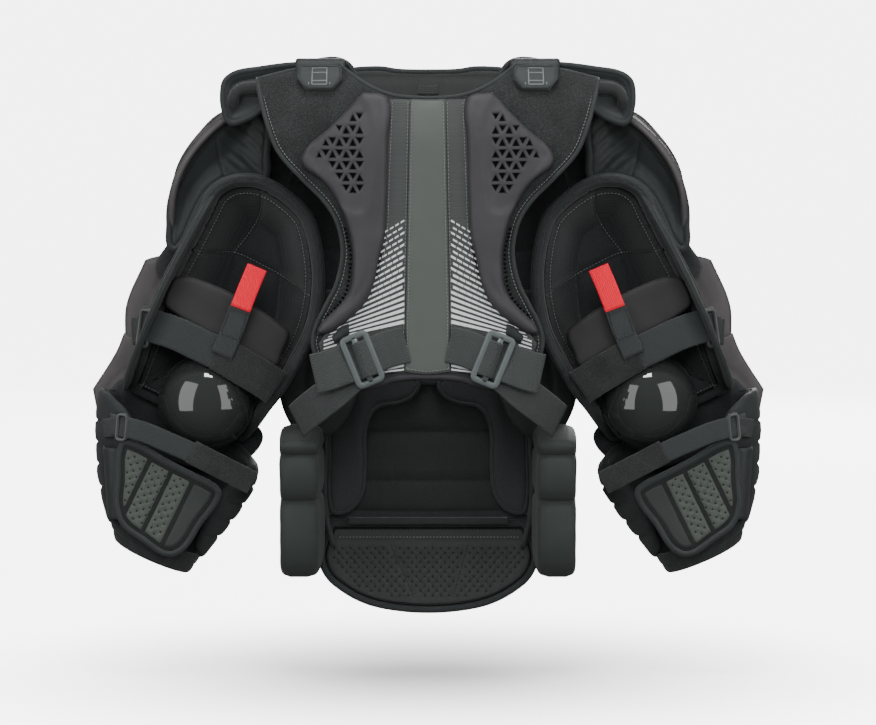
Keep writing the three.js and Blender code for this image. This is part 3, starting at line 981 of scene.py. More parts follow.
def make_backdrop():
    """A round floor that bends up into a wall and closes overhead, glowing pale; a painted shadow dims
    the glow round the middle, under the piece, so it is paler further out.
    """
    verts = []
    profile = [(0.001, 0.0), (1.0, 0.0), (4.0, 0.0), (BOWL_FLAT, 0.0)]
    for k in range(1, BOWL_STEPS + 1):
        a = math.pi / 2 * k / BOWL_STEPS
        profile.append((BOWL_FLAT + BOWL_BEND * math.sin(a), BOWL_BEND - BOWL_BEND * math.cos(a)))
    profile += [(17.0, 14.0), (9.0, 19.0), (0.001, 20.0)]
    sides = 64
    for r, z in profile:
        for k in range(sides):
            a = 2 * math.pi * k / sides
            verts.append((r * math.cos(a) / MM, r * math.sin(a) / MM, (z + FLOOR) / MM))
    look = Look("stage_pale", roughness=0.9, specular=0.1)
    look.shader.inputs["Base Color"].default_value = (0.9, 0.9, 0.9, 1)
    look.shader.inputs["Emission Color"].default_value = (1, 1, 1, 1)
    # Painted shadow: a spherical gradient round the floor's middle drops the glow from 5.4 far out to
    # 0.15 under the piece.
    away = look.node("ShaderNodeMapping", Vector=look.coordinates())
    away.inputs["Location"].default_value = (0, 0, -FLOOR * 1.7)
    away.inputs["Scale"].default_value = (1.3, 1.7, 1.7)
    shadow_falloff = look.node("ShaderNodeTexGradient", Vector=away.outputs["Vector"])
    shadow_falloff.gradient_type = "SPHERICAL"
    painted_shadow = look.node("ShaderNodeMapRange", Value=shadow_falloff.outputs["Fac"])
    painted_shadow.interpolation_type = "SMOOTHSTEP"
    painted_shadow.inputs["To Min"].default_value = 5.4
    painted_shadow.inputs["To Max"].default_value = 0.15
    look.tree.links.new(painted_shadow.outputs["Result"], look.shader.inputs["Emission Strength"])
    faces = ring_faces(len(profile), sides)
    backdrop = mesh_object("stage_sweep", verts, faces, look.material)
    backdrop.visible_diffuse = False
    backdrop.visible_glossy = False


def make_lights():
    """Two side keys, a front and a rear fill, and a small top light."""
    area_light("key_left", (-1.6, -1.5, 0.1), (0, 0, -0.38), 1.5, 25, 2.4)
    area_light("key_right", (1.6, -1.5, 0.1), (0, 0, -0.38), 1.5, 25, 2.4)
    front = area_light("front", (0, -4.2, 1.2), (0, 0, -0.4), 1.6, 105)
    front.visible_glossy = False
    area_light("behind", (0.6, 4.0, 1.2), (0, 0, -0.35), 2.0, 110)
    area_light("top", (0, -0.9, 2.2), (0, 0, -0.3), 0.8, 44)


# ---------------------------------------------------------------- shoulders
def flat(y):
    """The plane at a depth y."""
    return on(lambda x, z: np.full_like(np.asarray(x, float), y))


YOKE_SECTION = [(96, 4), (130, 10), (200, 9), (238, 5), (247, -6), (249, -26)]


def along_section(section):
    """A surface u along a cross-section drawn in x and z, v towards +y."""
    line = smooth(section, 1.0, False)
    run = run_along(line)

    def surface(u, v):
        return np.stack([np.interp(u, run, line[:, 0]), v, np.interp(u, run, line[:, 1])], 1)

    return surface, run[-1]


def outward_surface(section):
    """A surface that runs down a line in x and z (u) and towards +y (v), bulging outwards."""
    bulge, wide = 4.0, 100.0
    line = smooth(section, 1.0, False)
    run = run_along(line)
    ahead = unit_rows(np.gradient(line, axis=0))

    def surface(u, v):
        x, z = np.interp(u, run, line[:, 0]), np.interp(u, run, line[:, 1])
        across_x = -np.interp(u, run, ahead[:, 1])
        across_z = np.interp(u, run, ahead[:, 0])
        swell = bulge * np.sin(np.clip((v + 6) / wide, 0, 1) * math.pi)
        return np.stack([x + across_x * swell, v, z + across_z * swell], 1)

    return surface


def make_yoke():
    """The pad over the shoulder, with its back face, piping and zigzag stitches."""
    surface, width = along_section(YOKE_SECTION)
    plate = [(2, -42), (width - 40, -43), (width - 8, -38), (width - 1, -20), (width - 1, 88),
             (width - 12, 102), (width - 60, 107), (2, 106)]
    yoke = pad("shoulder_yoke_cover_right", plate, surface, 17, NYLON, side=-1, edge=12, rim=8,
               seams=[[(20, -26), (width - 30, -26)], [(20, 30), (width - 4, 30)]],
               quilt=8, seam_depth=2.5, ripple=1.0, ripple_size=34, back=6)
    place(yoke, "chest", "nylon_fabric", ["shoulder_yoke_right"])
    tape = binding("shoulder_yoke_binding_right", plate, surface, BINDING, -1, 4.5, 7, 5)
    place(tape, "chest", "liner_fabric")
    zigzag = [(24 + 6 * k, -39 + (4 if k % 2 else 0)) for k in range(21)]
    rows = []
    for shift in (0, 9):
        line = np.array([(a, b + shift) for a, b in zigzag], float)
        rows.append(lift(line, surface, 14 if shift else 11, -1))
    place(stitching("shoulder_yoke_stitches_right", rows, THREAD), "chest", "nylon_fabric")

    face = [(98, 32), (165, 33), (208, 28), (243, 21), (254, 12), (257, 0), (256, -22), (248, -40),
            (226, -36), (180, -6), (98, -4)]
    back_side = pad("shoulder_yoke_face_right", face, flat(-34), 8, NYLON, edge=9, rim=6,
                    spacing=6, back=6, shape=lambda u, v, depth: -5 * soft_step((depth - 5) / 9),
                    ripple=0.5, ripple_size=30)
    place(back_side, "chest", "nylon_fabric", ())
    tape = binding("shoulder_yoke_piping_right", face, flat(-38), TAPE, half_width=4,
                   half_height=6, out=0)
    place(tape, "chest", "liner_fabric")


def make_shoulder_tab():
    """The keeper tab with a plain ladder of raised bars."""
    tab = [(107, 26, 1), (158, 26, 1), (160, 12, 1), (150, -1, 1), (116, -1, 1), (105, 12, 1)]

    def over(x, z):
        """The tab lies on the panel and folds forwards over its top edge."""
        fold = np.clip(z - 17, 0, None)
        return back_face(x, z) - 4 + 0.06 * fold**2

    strap = pad("shoulder_tab_cover_right", tab, on(over), 6, TAB_CLOTH, edge=4, rim=3.5,
                spacing=5, rings=(1.2, 3), back=2)
    place(strap, "back_plate", "webbing", ["shoulder_tab_right"])
    hem = binding("shoulder_tab_hem_right", tab, on(over), TAPE, half_width=1.8, half_height=2,
                  out=4.5, inset=1.2)
    place(hem, "back_plate", "webbing")
    bars = []
    for sign in (-1, 1):
        x = 132.5 + sign * 9
        bars.append([(x, 3.5), (x, 22)])
        bars.append([(x + sign * 4, 3.5), (x + sign * 4, 6)])
    for z in (3.5, 8, 17.5, 22):
        bars.append([(123.5, z), (141.5, z)])
    parts = []
    for line in bars:
        path, ups = lift(smooth([(*p, 1) for p in line], 3.0, False), on(over), 6.2)
        verts, faces, _ = sweep(path, ups, 0.8, 0.5, False, 6)
        parts.append((verts, [tuple(reversed(f)) for f in faces]))
    marks = mesh_object("shoulder_tab_emboss_right", *join(parts), EMBOSS)
    place(marks, "back_plate", "webbing")


def make_deltoid():
    """The piped flap outside the upper arm, whose lining puckers near the panel."""
    flap = [(204, -30), (214, -20), (226, -18), (248, -31), (270, -52), (293, -78), (312, -105),
            (325, -134), (328, -166), (322, -200), (311, -192), (298, -165), (282, -134),
            (264, -116), (240, -111), (208, -113), (203, -80)]

    def dish(u, v, depth):
        folds = np.sin((u * 0.62 - v * 0.78) / 2.1 + 2.2 * wobble(u, v, 34, 4.0))
        pleats = 1.5 * folds * soft_step((266 - u) / 14) * np.clip((depth - 4) / 8, 0, 1)
        return -10 * soft_step((depth - 3) / 30) + pleats

    seam = [[(268, -56), (264, -84), (256, -110)]]
    lining = pad("deltoid_lining_right", flap, flat(14), 20, NYLON, edge=10, rim=9, spacing=3.2,
                 seams=seam, quilt=6, seam_depth=2.5, ripple=1.4, ripple_size=22, seed=3,
                 back=10, shape=dish)
    place(lining, "shoulder_right", "nylon_fabric", ["deltoid_flap_right"])
    roll = binding("deltoid_binding_right", flap, flat(4), TAPE, half_width=4.6,
                   half_height=8, out=4)
    place(roll, "shoulder_right", "liner_fabric")
    seam_stitches("deltoid_stitches_right", seam, flat(14), THREAD, 8.6,
                  "shoulder_right", "nylon_fabric")


def make_cap():
    """The foam cap outside the shoulder and the shell on its outer side."""
    cap = [(256, -28), (280, -40), (298, -56), (311, -78), (320, -104), (326, -136), (328, -168),
           (318, -196), (294, -168), (274, -110), (258, -70)]

    def dome(x, z):
        return 70 - 0.0022 * ((x - 290) ** 2 + 0.6 * (z + 105) ** 2)

    outer = pad("shoulder_cap_cover_right", cap, on(dome), 12, WING_FOAM, edge=12, rim=4, spacing=6,
                seams=[[(266, -60), (300, -76), (332, -104)]], quilt=8, seam_depth=2.5,
                ripple=1.0, back=24, ripple_size=26)
    place(outer, "shoulder_right", "cap_cover", ["shoulder_cap_right"])

    wrap_outline = [(4, -4), (180, -4), (186, 6), (186, 92), (176, 98), (12, 98), (0, 90), (0, 4)]
    wrapped = outward_surface([(236, -28), (264, -45), (289, -70), (308, -98), (319, -128),
                               (322, -160), (320, -194)])
    shell = pad("shoulder_side_right", wrap_outline, wrapped, 7, WING_FOAM, edge=10, rim=2,
                spacing=7, seams=[[(62, -2), (62, 96)], [(124, -2), (124, 96)]], quilt=8,
                seam_depth=2.5, back=3, ripple=0.6)
    place(shell, "shoulder_right", "cap_cover", ())


def make_shoulder_sleeve():
    """The lining that joins the upper arm to the chest."""
    bridge = [(176, -34), (262, -24), (296, -52), (326, -100), (333, -187), (352, -230),
              (300, -250), (214, -190), (180, -120)]
    sleeve = pad("shoulder_sleeve_right", bridge, flat(84), 9, LINER, edge=10, rim=4, spacing=7,
                 ripple=1.6, ripple_size=30, back=8)
    place(sleeve, "chest", "liner_fabric", (),
          bend=("upper_arm_right", (230, 84, -80), (262, 84, -190)))


def make_shoulder_links():
    """The soft strip over each shoulder that the back panel swings on."""
    panel = float(back_face(132.0, 18.0)) + 3
    path = smooth([(panel, 14), (panel + 4, 27), (-76, 34), (-58, 36), (-46, 32), (-32, 26)],
                  2.0, False)
    run = run_along(path)

    def surface(u, v):
        return np.stack([u, np.interp(v, run, path[:, 0]), np.interp(v, run, path[:, 1])], 1)

    outline = [(103, 1, 1), (162, 1, 1), (166, run[-1] - 1, 1), (101, run[-1] - 1, 1)]
    strip = pad("shoulder_link_right", outline, surface, 3, NYLON, edge=3, rim=1.5, spacing=4,
                rings=(1, 2.5), back=1)
    place(strip, "chest", "nylon_fabric", (),
          bend=("back_plate", (132, -46, 34), (132, -72, 34)))


# ---------------------------------------------------------------- arms
ARM_OUTLINE = [(205, -110), (228, -106), (252, -110), (272, -124), (286, -150), (299, -175),
               (314, -203), (329, -231), (343, -262), (354, -292), (366, -325), (377, -355),
               (386, -380, 1), (348, -398), (310, -416), (272, -432), (237, -447, 1), (218, -425),
               (201, -400), (184, -378), (168, -352), (154, -328), (142, -300), (135, -270),
               (132, -240), (134, -208), (139, -180), (148, -155), (172, -130)]
ARM_EDGE = closed_line(smooth(ARM_OUTLINE, 4.0))
ARM_TILT = math.radians(25)


def down_arm(x, z):
    """Distance down the arm's axis."""
    return -z * math.cos(ARM_TILT) + x * math.sin(ARM_TILT)


def bowl(x, z):
    """The hollow of the arm: a rim towards the wearer's back and a floor in front."""
    points = np.stack([x, z], 1)
    depth = distance(points, [ARM_EDGE])
    rim = -38 + 84 * soft_step((down_arm(x, z) - 425) / 85)
    floor = 62.0
    return rim + (floor - rim) * np.sin(np.clip(depth / 62, 0, 1) * math.pi / 2) ** 1.15


def make_arm_liner():
    """The quilted hollow of the arm with its rolled and stitched rim."""
    seams = [[(207, -120), (213, -150), (228, -178), (250, -205)],
             [(304, -197), (280, -202), (250, -205), (205, -226), (162, -249), (146, -259)],
             [(250, -205), (262, -250), (280, -310), (300, -360)],
             [(190, -234), (196, -290), (214, -350)]]
    rim_line = offset_loop(smooth(ARM_OUTLINE, 8.0), 11)
    rim_seam = [*rim_line, rim_line[0]]
    liner = pad("arm_liner_cover_right", ARM_OUTLINE, on(bowl), 9, LINER, edge=12, rim=4,
                spacing=5, seams=[*seams, rim_seam], quilt=13, seam_depth=6, ripple=1.2, ripple_size=34,
                seed=5, rings=(1.5, 3.5, 6, 9, 12, 16, 20), back=8)
    place(liner, "upper_arm_right", "liner_fabric",
          ["arm_liner_right", "arm_outer_wall_right", "arm_inner_wall_right"])
    roll = binding("arm_rim_roll_right", ARM_OUTLINE, on(bowl), TAPE, half_width=5.4,
                   half_height=7, out=1, inset=3.0)
    place(roll, "upper_arm_right", "nylon_fabric", ())
    piping = offset_loop(smooth(ARM_OUTLINE, 4.0), 9.5)
    path, ups = lift(piping, on(bowl), 5)
    line = tube("arm_rim_piping_right", path, ups, 1.5, 1.5, DARK_THREAD, True, sides=8)
    place(line, "upper_arm_right", "liner_fabric")
    inner = offset_loop(smooth(ARM_OUTLINE, 4.0), 14)
    seam_stitches("arm_rim_stitches_right", [inner], on(bowl), THREAD, 9.2,
                  "upper_arm_right", "liner_fabric")
    seam_stitches("arm_seam_stitches_right", seams[:2], on(bowl), THREAD, 3.6,
                  "upper_arm_right", "liner_fabric")


def make_arm_armour():
    """The wings and shields outside the biceps and the elbow."""
    wing = [(322, -214), (360, -214), (368, -217, 1), (393, -276), (395, -318, 1), (360, -332),
            (322, -336)]
    armour = pad("biceps_wing_cover_right", wing, flat(106), 11, WING_FOAM, edge=9, rim=4,
                 spacing=6, seams=[[(338, -222), (362, -272), (368, -322)]], quilt=6,
                 seam_depth=1.5, back=6)
    place(armour, "upper_arm_right", "wing_foam", ())
    front = [(214, -214), (322, -214), (330, -336), (296, -345), (216, -300)]
    shield = pad("biceps_shield_right", front, flat(102), 17, SHELL, side=-1, edge=14, rim=5,
                 seams=[[(215, -258), (328, -262)]], quilt=10, back=2)
    place(shield, "upper_arm_right", "wing_foam", ["biceps_wing_right"])
    wing = [(346, -326), (396, -312, 1), (405, -334), (437, -385, 1), (432, -412, 1), (419, -409),
            (394, -382), (352, -384)]
    armour = pad("elbow_wing_cover_right", wing, flat(103), 8, WING_FOAM, edge=8, rim=4,
                 spacing=6, seams=[[(372, -352), (396, -362), (428, -402)]], quilt=6,
                 seam_depth=1.5, back=9)
    place(armour, "upper_arm_right", "wing_foam", ())
    front = [(292, -350), (352, -346), (358, -386), (308, -400), (288, -392)]
    shield = pad("elbow_shield_right", front, flat(100), 14, SHELL, side=-1, edge=12, rim=5,
                 back=2)
    place(shield, "upper_arm_right", "wing_foam", ["elbow_wing_right"])


def make_side_wall():
    """The padded outer side of the arm, seen from the side and the front."""
    outline = [(0, -30), (268, -30), (268, 84), (200, 90), (60, 90), (0, 84)]
    a, b = np.array([262.0, -122.0]), np.array([382.0, -372.0])
    length = np.linalg.norm(b - a)
    run = (b - a) / length
    out = np.array([-run[1], run[0]])

    def surface(u, v):
        bulge = 5 * np.sin(np.clip(u / length, 0, 1) * math.pi)
        x = a[0] + run[0] * u + out[0] * bulge
        z = a[1] + run[1] * u + out[1] * bulge
        return np.stack([x, v, z], 1)

    wall = pad("arm_side_right", outline, surface, 7, SHELL, edge=14, rim=2,
               seams=[[(2, 30), (266, 30)], [(90, -26), (90, 86)], [(180, -26), (180, 86)]],
               quilt=10, seam_depth=2.5, back=2, ripple=0.8, spacing=7)
    place(wall, "upper_arm_right", "cap_cover", ())


def strap_path(points, face):
    """A strap's centre line from points (x, y, z), with the directions its face looks in."""
    flat_points = [(p[0], p[2]) for p in points]
    line = smooth(flat_points, 4.0, False)
    given = run_along(flat_points)
    run = run_along(line)
    run *= given[-1] / run[-1]
    y = np.interp(run, given, [p[1] for p in points])
    path = np.stack([line[:, 0], y, line[:, 1]], 1)
    ups = np.tile(np.asarray(face, float), (len(path), 1))
    ahead = unit_rows(np.gradient(path, axis=0))
    return path, unit_rows(ups - ahead * (ups * ahead).sum(1)[:, None])


def strap(name, points, width, thick, material, face=(0, -1, 0)):
    """Flat webbing along points in space."""
    path, ups = strap_path(points, face)
    return tube(name, path, ups, width / 2, thick / 2, material, sides=12, square=0.35)


def ring(name, middle, wide, tall, turn, material, bar, y_tilt, middle_bar):
    """A flat rectangular strap ring at (x, y, z), wide along x before it is turned."""
    c, s = math.cos(turn), math.sin(turn)

    def spot(a, b):
        return (middle[0] + a * c - b * s, middle[1] + y_tilt * a, middle[2] + a * s + b * c)

    r = 4.0
    corners = []
    for sx, sz, base in ((1, 1, 0), (-1, 1, 90), (-1, -1, 180), (1, -1, 270)):
        for k in range(4):
            a = math.radians(base + 30 * k)
            corners.append(spot(sx * (wide / 2 - r) + r * math.cos(a),
                                sz * (tall / 2 - r) + r * math.sin(a)))
    path = np.array(corners)
    lines = [(path, True)]
    if middle_bar:
        lines.append((np.array([spot(0, -tall / 2 + 1), spot(0, 0), spot(0, tall / 2 - 1)]), False))
    parts = []
    for line, closed in lines:
        ups = np.tile((0.0, -1.0, 0.0), (len(line), 1))
        parts.append(sweep(line, ups, bar, bar * 0.8, closed, 8, 0.6)[:2])
    verts, faces = join([(v, [tuple(reversed(f)) for f in fs]) for v, fs in parts])
    return mesh_object(name, verts, faces, material)


ELASTIC_SIDE = (0.8, -0.6, 0.0)
# Name, body, slot, width, thickness, material, replaced nodes, facing and points of each strap.
STRAPS = [
    ("upper_strap_web", "upper_arm_right", "elastic", 42, 2.6, ELASTIC, ["upper_strap_right"],
     (0, -1, 0), [(362, -36, -290), (350, -48, -293), (318, -57, -302), (284, -57, -318),
                  (244, -57, -337)]),
    ("upper_strap_hook", "upper_arm_right", "loop_fabric", 46, 3.2, HOOK_TAPE, [],
     (0, -1, 0), [(262, -58.5, -327), (232, -58, -345), (206, -55, -361), (190, -52, -372)]),
    ("upper_strap_anchor", "upper_arm_right", "elastic", 34, 2.4, ELASTIC, [],
     ELASTIC_SIDE, [(356, -38, -297), (366, -30, -300), (374, -6, -304), (377, 24, -306)]),
    ("pull_tab_red", "upper_arm_right", "red_webbing", 26, 3.6, RED, ["pull_tab_right"],
     (0, -1, 0), [(213, -57, -220), (224, -60, -246), (234, -62, -272)]),
    ("pull_tab_web", "upper_arm_right", "webbing", 28, 2.8, ELASTIC, [],
     (0, -1, 0), [(232, -61, -266), (244, -62, -298), (258, -61, -330)]),
    ("lower_strap_web", "forearm_right", "elastic", 26, 2.4, ELASTIC, ["lower_strap_right"],
     (0, -1, 0), [(402, -30, -418), (388, -52, -420), (362, -66, -424), (328, -70, -437),
                  (290, -70, -454)]),
    ("lower_strap_hook", "forearm_right", "loop_fabric", 30, 3.0, HOOK_TAPE, [],
     (0, -1, 0), [(296, -71, -450), (262, -69, -468), (236, -64, -482), (220, -58, -491)]),
    ("lower_strap_anchor", "forearm_right", "elastic", 24, 2.2, ELASTIC, [],
     ELASTIC_SIDE, [(388, -50, -421), (404, -30, -424), (418, 4, -430), (422, 34, -436)]),
    ("waist_web", "back_plate", "webbing", 44, 2.6, WEBBING, ["waist_strap_right"],
     (0.25, -1, 0.1), [(70, -133, -334), (96, -134, -352), (118, -130, -372),
                       (138, -118, -388), (154, -96, -402), (164, -74, -412)]),
    ("waist_web_end", "back_plate", "webbing", 50, 2.6, WEBBING, [],
     (0.12, -1, 0.05), [(84, -139, -330), (100, -142, -335), (124, -141, -344),
                        (140, -137, -348)]),
    ("waist_anchor", "back_plate", "webbing", 46, 2.4, WEBBING, [],
     (0, -1, 0), [(26, -134, -312), (50, -136, -318), (62, -140, -323), (72, -147, -327),
                  (80, -147.5, -330), (86, -143, -332)]),
]
# Name, body, middle, width, height, turn in degrees, material, bar, tilt, middle bar and node.
RINGS = [
    ("upper_strap_ring", "upper_arm_right", (356, -46, -297), 13, 46, 8, RING_STEEL, 2.6, 0.3,
     False, []),
    ("lower_strap_ring", "forearm_right", (384, -56, -421), 12, 32, 5, RING_STEEL, 2.4, 0.3,
     False, []),
    ("waist_buckle", "back_plate", (80, -143, -330), 30, 60, -22, BUCKLE, 4.0, 0.0,
     True, ["strap_buckle_right"]),
]


def make_straps():
    """Every strap, ring and buckle, and the box stitch on the pull tab."""
    for name, body, slot, width, thick, material, nodes, face, points in STRAPS:
        web = strap(name + "_right", points, width, thick, material, face)
        place(web, body, slot, nodes)
    for name, body, middle, wide, tall, turn, material, thick, tilt, barred, nodes in RINGS:
        frame = ring(name + "_right", middle, wide, tall, math.radians(turn), material, thick,
                     tilt, barred)
        place(frame, body, "buckle_plastic", nodes)
    corners = [(226, -279), (247, -272), (258, -303), (236, -311)]
    box = []
    for a, b in zip(corners, corners[1:] + corners[:1]):
        line = np.linspace((a[0], -63.6, a[1]), (b[0], -63.6, b[1]), 12)
        box.append((line, np.tile((0.0, -1.0, 0.0), (12, 1))))
    place(stitching("pull_tab_stitches_right", box, DARK_THREAD), "upper_arm_right", "webbing")


def make_strap_pad():
    """The foam pad under the upper strap."""
    block = [(306, -232), (317, -234), (324, -244), (330, -268), (322, -276), (200, -346),
             (190, -346), (182, -328), (174, -303), (182, -294), (296, -233)]
    foam_pad = pad("strap_pad_cover_right", block, flat(-42), 10, INNER_FOAM, edge=7, rim=4,
                   spacing=5, rings=(1.2, 3, 5), back=3)
    place(foam_pad, "upper_arm_right", "moulded_foam", ["strap_pad_right"])


def revolve(name, profile, middle, material):
    """A body of revolution round -y. profile lists (radius, distance towards -y)."""
    sides = 72
    verts = []
    for r, d in profile:
        for k in range(sides):
            a = 2 * math.pi * k / sides
            verts.append((middle[0] + r * math.cos(a), middle[1] - d, middle[2] + r * math.sin(a)))
    rows = len(profile)
    faces = ring_faces(rows, sides)
    faces.append(tuple(reversed(range(sides))))
    faces.append(tuple((rows - 1) * sides + k for k in range(sides)))
    return mesh_object(name, verts, faces, material)


def make_elbow():
    """The glossy elbow cup, hollow behind, with a rolled lip."""
    radius, deep, wall = 58.0, 56.0, 3.5
    outside = []
    for k in range(25):
        a = math.pi / 2 * k / 24
        outside.append((radius * math.cos(a) ** 0.92 + 0.02, deep * math.sin(a) ** 0.94))
    lip = [(radius - wall, -3.0), (radius - 0.5, -4.5), (radius + 2.5, -4.0), (radius + 3, -2.0),
           (radius + 2.2, 0.2), (radius + 0.6, 2.0)]
    within = [(max(0.02, r - wall), d - wall) for r, d in reversed(outside[1:])]
    cup = revolve("elbow_cup_shell_right", within + lip + outside[2:], (281, -12, -392), GLOSS)
    place(cup, "elbow_right", "gloss_shell", ["elbow_cup_right"])


# ---------------------------------------------------------------- forearms
# Distance down the arm, centre, half width and half depth of the forearm's sections.
STATIONS = [(-18, (326, 24, -418), 96, 66), (0, (320, 24, -438), 106, 66),
            (30, (324, 22, -464), 104, 67), (62, (332, 21, -494), 94, 65),
            (90, (340, 19, -520), 84, 60), (120, (346, 17, -548), 70, 53),
            (145, (350, 16, -572), 58, 48), (160, (352, 16, -586), 52, 46)]
SLEEVE_RADIUS = 60.0
SLEEVE_TILT = math.radians(24)


def sleeve_surface(u, v):
    """u runs round the forearm from its outer side towards the front, v down to the wrist."""
    v0 = [s[0] for s in STATIONS]
    centre = [np.interp(v, v0, [s[1][i] for s in STATIONS]) for i in range(3)]
    wide = np.interp(v, v0, [s[2] for s in STATIONS])
    deep = np.interp(v, v0, [s[3] for s in STATIONS])
    turn = u / SLEEVE_RADIUS
    across = wide * np.cos(turn)
    return np.stack([centre[0] + across * math.cos(SLEEVE_TILT),
                     centre[1] + deep * np.sin(turn),
                     centre[2] + across * math.sin(SLEEVE_TILT)], 1)


def perforations(low, high, origin, tilt, pitch, keep):
    """A staggered grid of small holes on a tilted panel; keep(x, z) picks the ones to cut."""
    reach, flatten = 1.5, 0.58
    holes = []
    c, s = math.cos(tilt), math.sin(tilt)
    rows = int((high[1] - low[1]) / (pitch * flatten))
    columns = int((high[0] - low[0]) / pitch)
    for j in range(rows):
        for i in range(columns):
            a = low[0] + (i + 0.5 * (j % 2)) * pitch
            b = low[1] + j * pitch * flatten
            x, z = origin[0] + a * c - b * s, origin[1] + a * s + b * c
            if keep(x, z):
                holes.append(polygon(x, z, reach, 6))
    return holes


FLAP = [(290, -484), (331, -463), (366, -443), (382, -440), (388, -452), (390, -486),
        (392, -520), (384, -543), (360, -562), (326, -582), (310, -576), (286, -542),
        (266, -514), (263, -502), (274, -492)]
FLAP_TILT = math.radians(-64)


def make_wrist_flap():
    """A bound flap with three perforated mesh panels, their holes shallow pits floored with painted
    shade, and a plain strip between channels.
    """
    cover = pad("wrist_flap_cover_right", FLAP, flat(-48), 7, VENT_CLOTH, edge=9, rim=4,
                spacing=6, ripple=0.4, back=3)
    place(cover, "wrist_flap_right", "mesh_fabric", ["wrist_flap_right"])
    tape = binding("wrist_flap_binding_right", FLAP, flat(-50), TAPE, half_width=4.2,
                   half_height=6, out=1)
    place(tape, "wrist_flap_right", "liner_fabric")
    border = smooth(FLAP, 3.0)
    room = offset_loop(border, 8.5)
    bounds = [(-60, -30.5), (-26.5, -1.0), (3.0, 29.5), (33.5, 70)]
    middle = np.array([338.0, -512.0])
    along = np.array([math.cos(FLAP_TILT), math.sin(FLAP_TILT)])
    across = np.array([-along[1], along[0]])
    for index, (low, high) in enumerate(bounds):
        slice_in = clip_band(room, middle, across, low, high)
        plain = index == 0
        holes = []
        if not plain:
            edge = closed_line(slice_in)

            def keep(x, z):
                p = np.array([[x, z]])
                return bool(inside(p, slice_in)[0]) and distance(p, [edge])[0] > 2.4

            holes = perforations((-90, -90), (90, 90), tuple(middle), FLAP_TILT, 11.0, keep)
        cover = pad(f"wrist_flap_panel_{index}_right", [(*p, 1) for p in slice_in], flat(-53),
                    3.6, [WRIST_PLAIN if plain else AIR_MESH, PIT_SHADE], edge=4, rim=1.2,
                    spacing=5, cuts=holes, cut_depth=1.2, cut_slope=0.35, rings=(1, 2.5, 4.5),
                    ripple=0.3, back=0.5, step=3)
        place(cover, "wrist_flap_right", "mesh_fabric", ())


def make_flap_hinge():
    """The soft strip that joins the wrist flap to the forearm's outer side."""
    path = smooth([(414, -18), (411, -38), (402, -49), (386, -50)], 2.0, False)
    run = run_along(path)

    def surface(u, v):
        lean = 0.06 * v
        return np.stack([np.interp(u, run, path[:, 0]) - 3 - lean,
                         np.interp(u, run, path[:, 1]), -446 - v], 1)

    outline = [(0, 2, 1), (run[-1], 2, 1), (run[-1], 92, 1), (0, 92, 1)]
    strip = pad("wrist_flap_hinge_right", outline, surface, 2.5, NYLON, side=-1, edge=3, rim=1.5,
                spacing=4, rings=(1, 2.5), back=1)
    place(strip, "forearm_right", "nylon_fabric", (),
          bend=("wrist_flap_right", (410, -46, -490), (396, -50, -490)))


def clip_band(loop, middle, across, low, high):
    """The part of a convex outline between two parallel lines."""
    for limit, sign in ((low, 1), (high, -1)):
        out = []
        for i in range(len(loop)):
            a, b = loop[i], loop[(i + 1) % len(loop)]
            da = sign * ((a - middle) @ across - limit)
            db = sign * ((b - middle) @ across - limit)
            if da >= 0:
                out.append(a)
            if (da > 0) != (db > 0):
                out.append(a + (b - a) * da / (da - db))
        loop = np.array(out)
    return loop


def make_forearm():
    """The ribbed sleeve round the forearm and the shield in front of it."""
    low, high = -0.95 * SLEEVE_RADIUS, 3.75 * SLEEVE_RADIUS
    outline = [(low, -6), (low + 10, -14), (high - 30, -8), (high, 12), (high, 120),
               (high - 12, 132), (low + 12, 132), (low, 120)]
    ribs = [[(low + 2, v), (high - 2, v)] for v in (26, 52, 78, 104)]
    sleeve = pad("forearm_sleeve_right", outline, sleeve_surface, 7, SHELL, side=-1, edge=10,
                 rim=2, seams=ribs, quilt=10, seam_depth=3.5, ripple=0.8, back=5, spacing=7)
    place(sleeve, "forearm_right", "cap_cover",
          ["forearm_shell_right", "forearm_outer_wall_right"])
    plate = [(55, 4), (150, 4), (156, 20), (150, 112), (136, 124), (70, 124), (56, 112), (50, 20)]
    shield = pad("forearm_shield_right", plate, sleeve_surface, 15, WING_FOAM, side=-1, edge=8,
                 rim=8, seams=[[(102, 8), (102, 120)]], quilt=8, seam_depth=2, spacing=7)
    place(shield, "forearm_right", "wing_foam", ())


def make_cuff():
    """The two elastic bands at the wrist."""
    whole = 2 * math.pi * SLEEVE_RADIUS
    loop = np.linspace(0, whole, 73)[:-1]
    parts = []
    for v, half, wall in ((146, 8, 6.5), (160, 7, 5.5)):
        path, ups = lift(np.stack([loop, np.full(72, float(v))], 1), sleeve_surface, 0, -1)
        verts, faces, _ = sweep(path, ups, half, wall / 2, True, 12, 0.7)
        parts.append((verts, faces))
    verts, faces = join(parts)
    cuff = mesh_object("wrist_cuff_band_right", verts, faces, ELASTIC_PLAIN)
    place(cuff, "forearm_right", "elastic", ["wrist_cuff_right"])


def make_elbow_sleeve():
    """The lining that joins the upper arm to the forearm."""
    gap = [(214, -440), (262, -418), (330, -392), (388, -366), (412, -384), (424, -424),
           (404, -456), (340, -474), (266, -488), (236, -476)]
    bridge = pad("elbow_sleeve_right", gap, flat(67), 8, LINER, edge=10, rim=3, spacing=7,
                 ripple=2.0, ripple_size=24, seed=9, back=8)
    place(bridge, "upper_arm_right", "liner_fabric", (),
          bend=("forearm_right", (300, 74, -405), (322, 74, -470)))


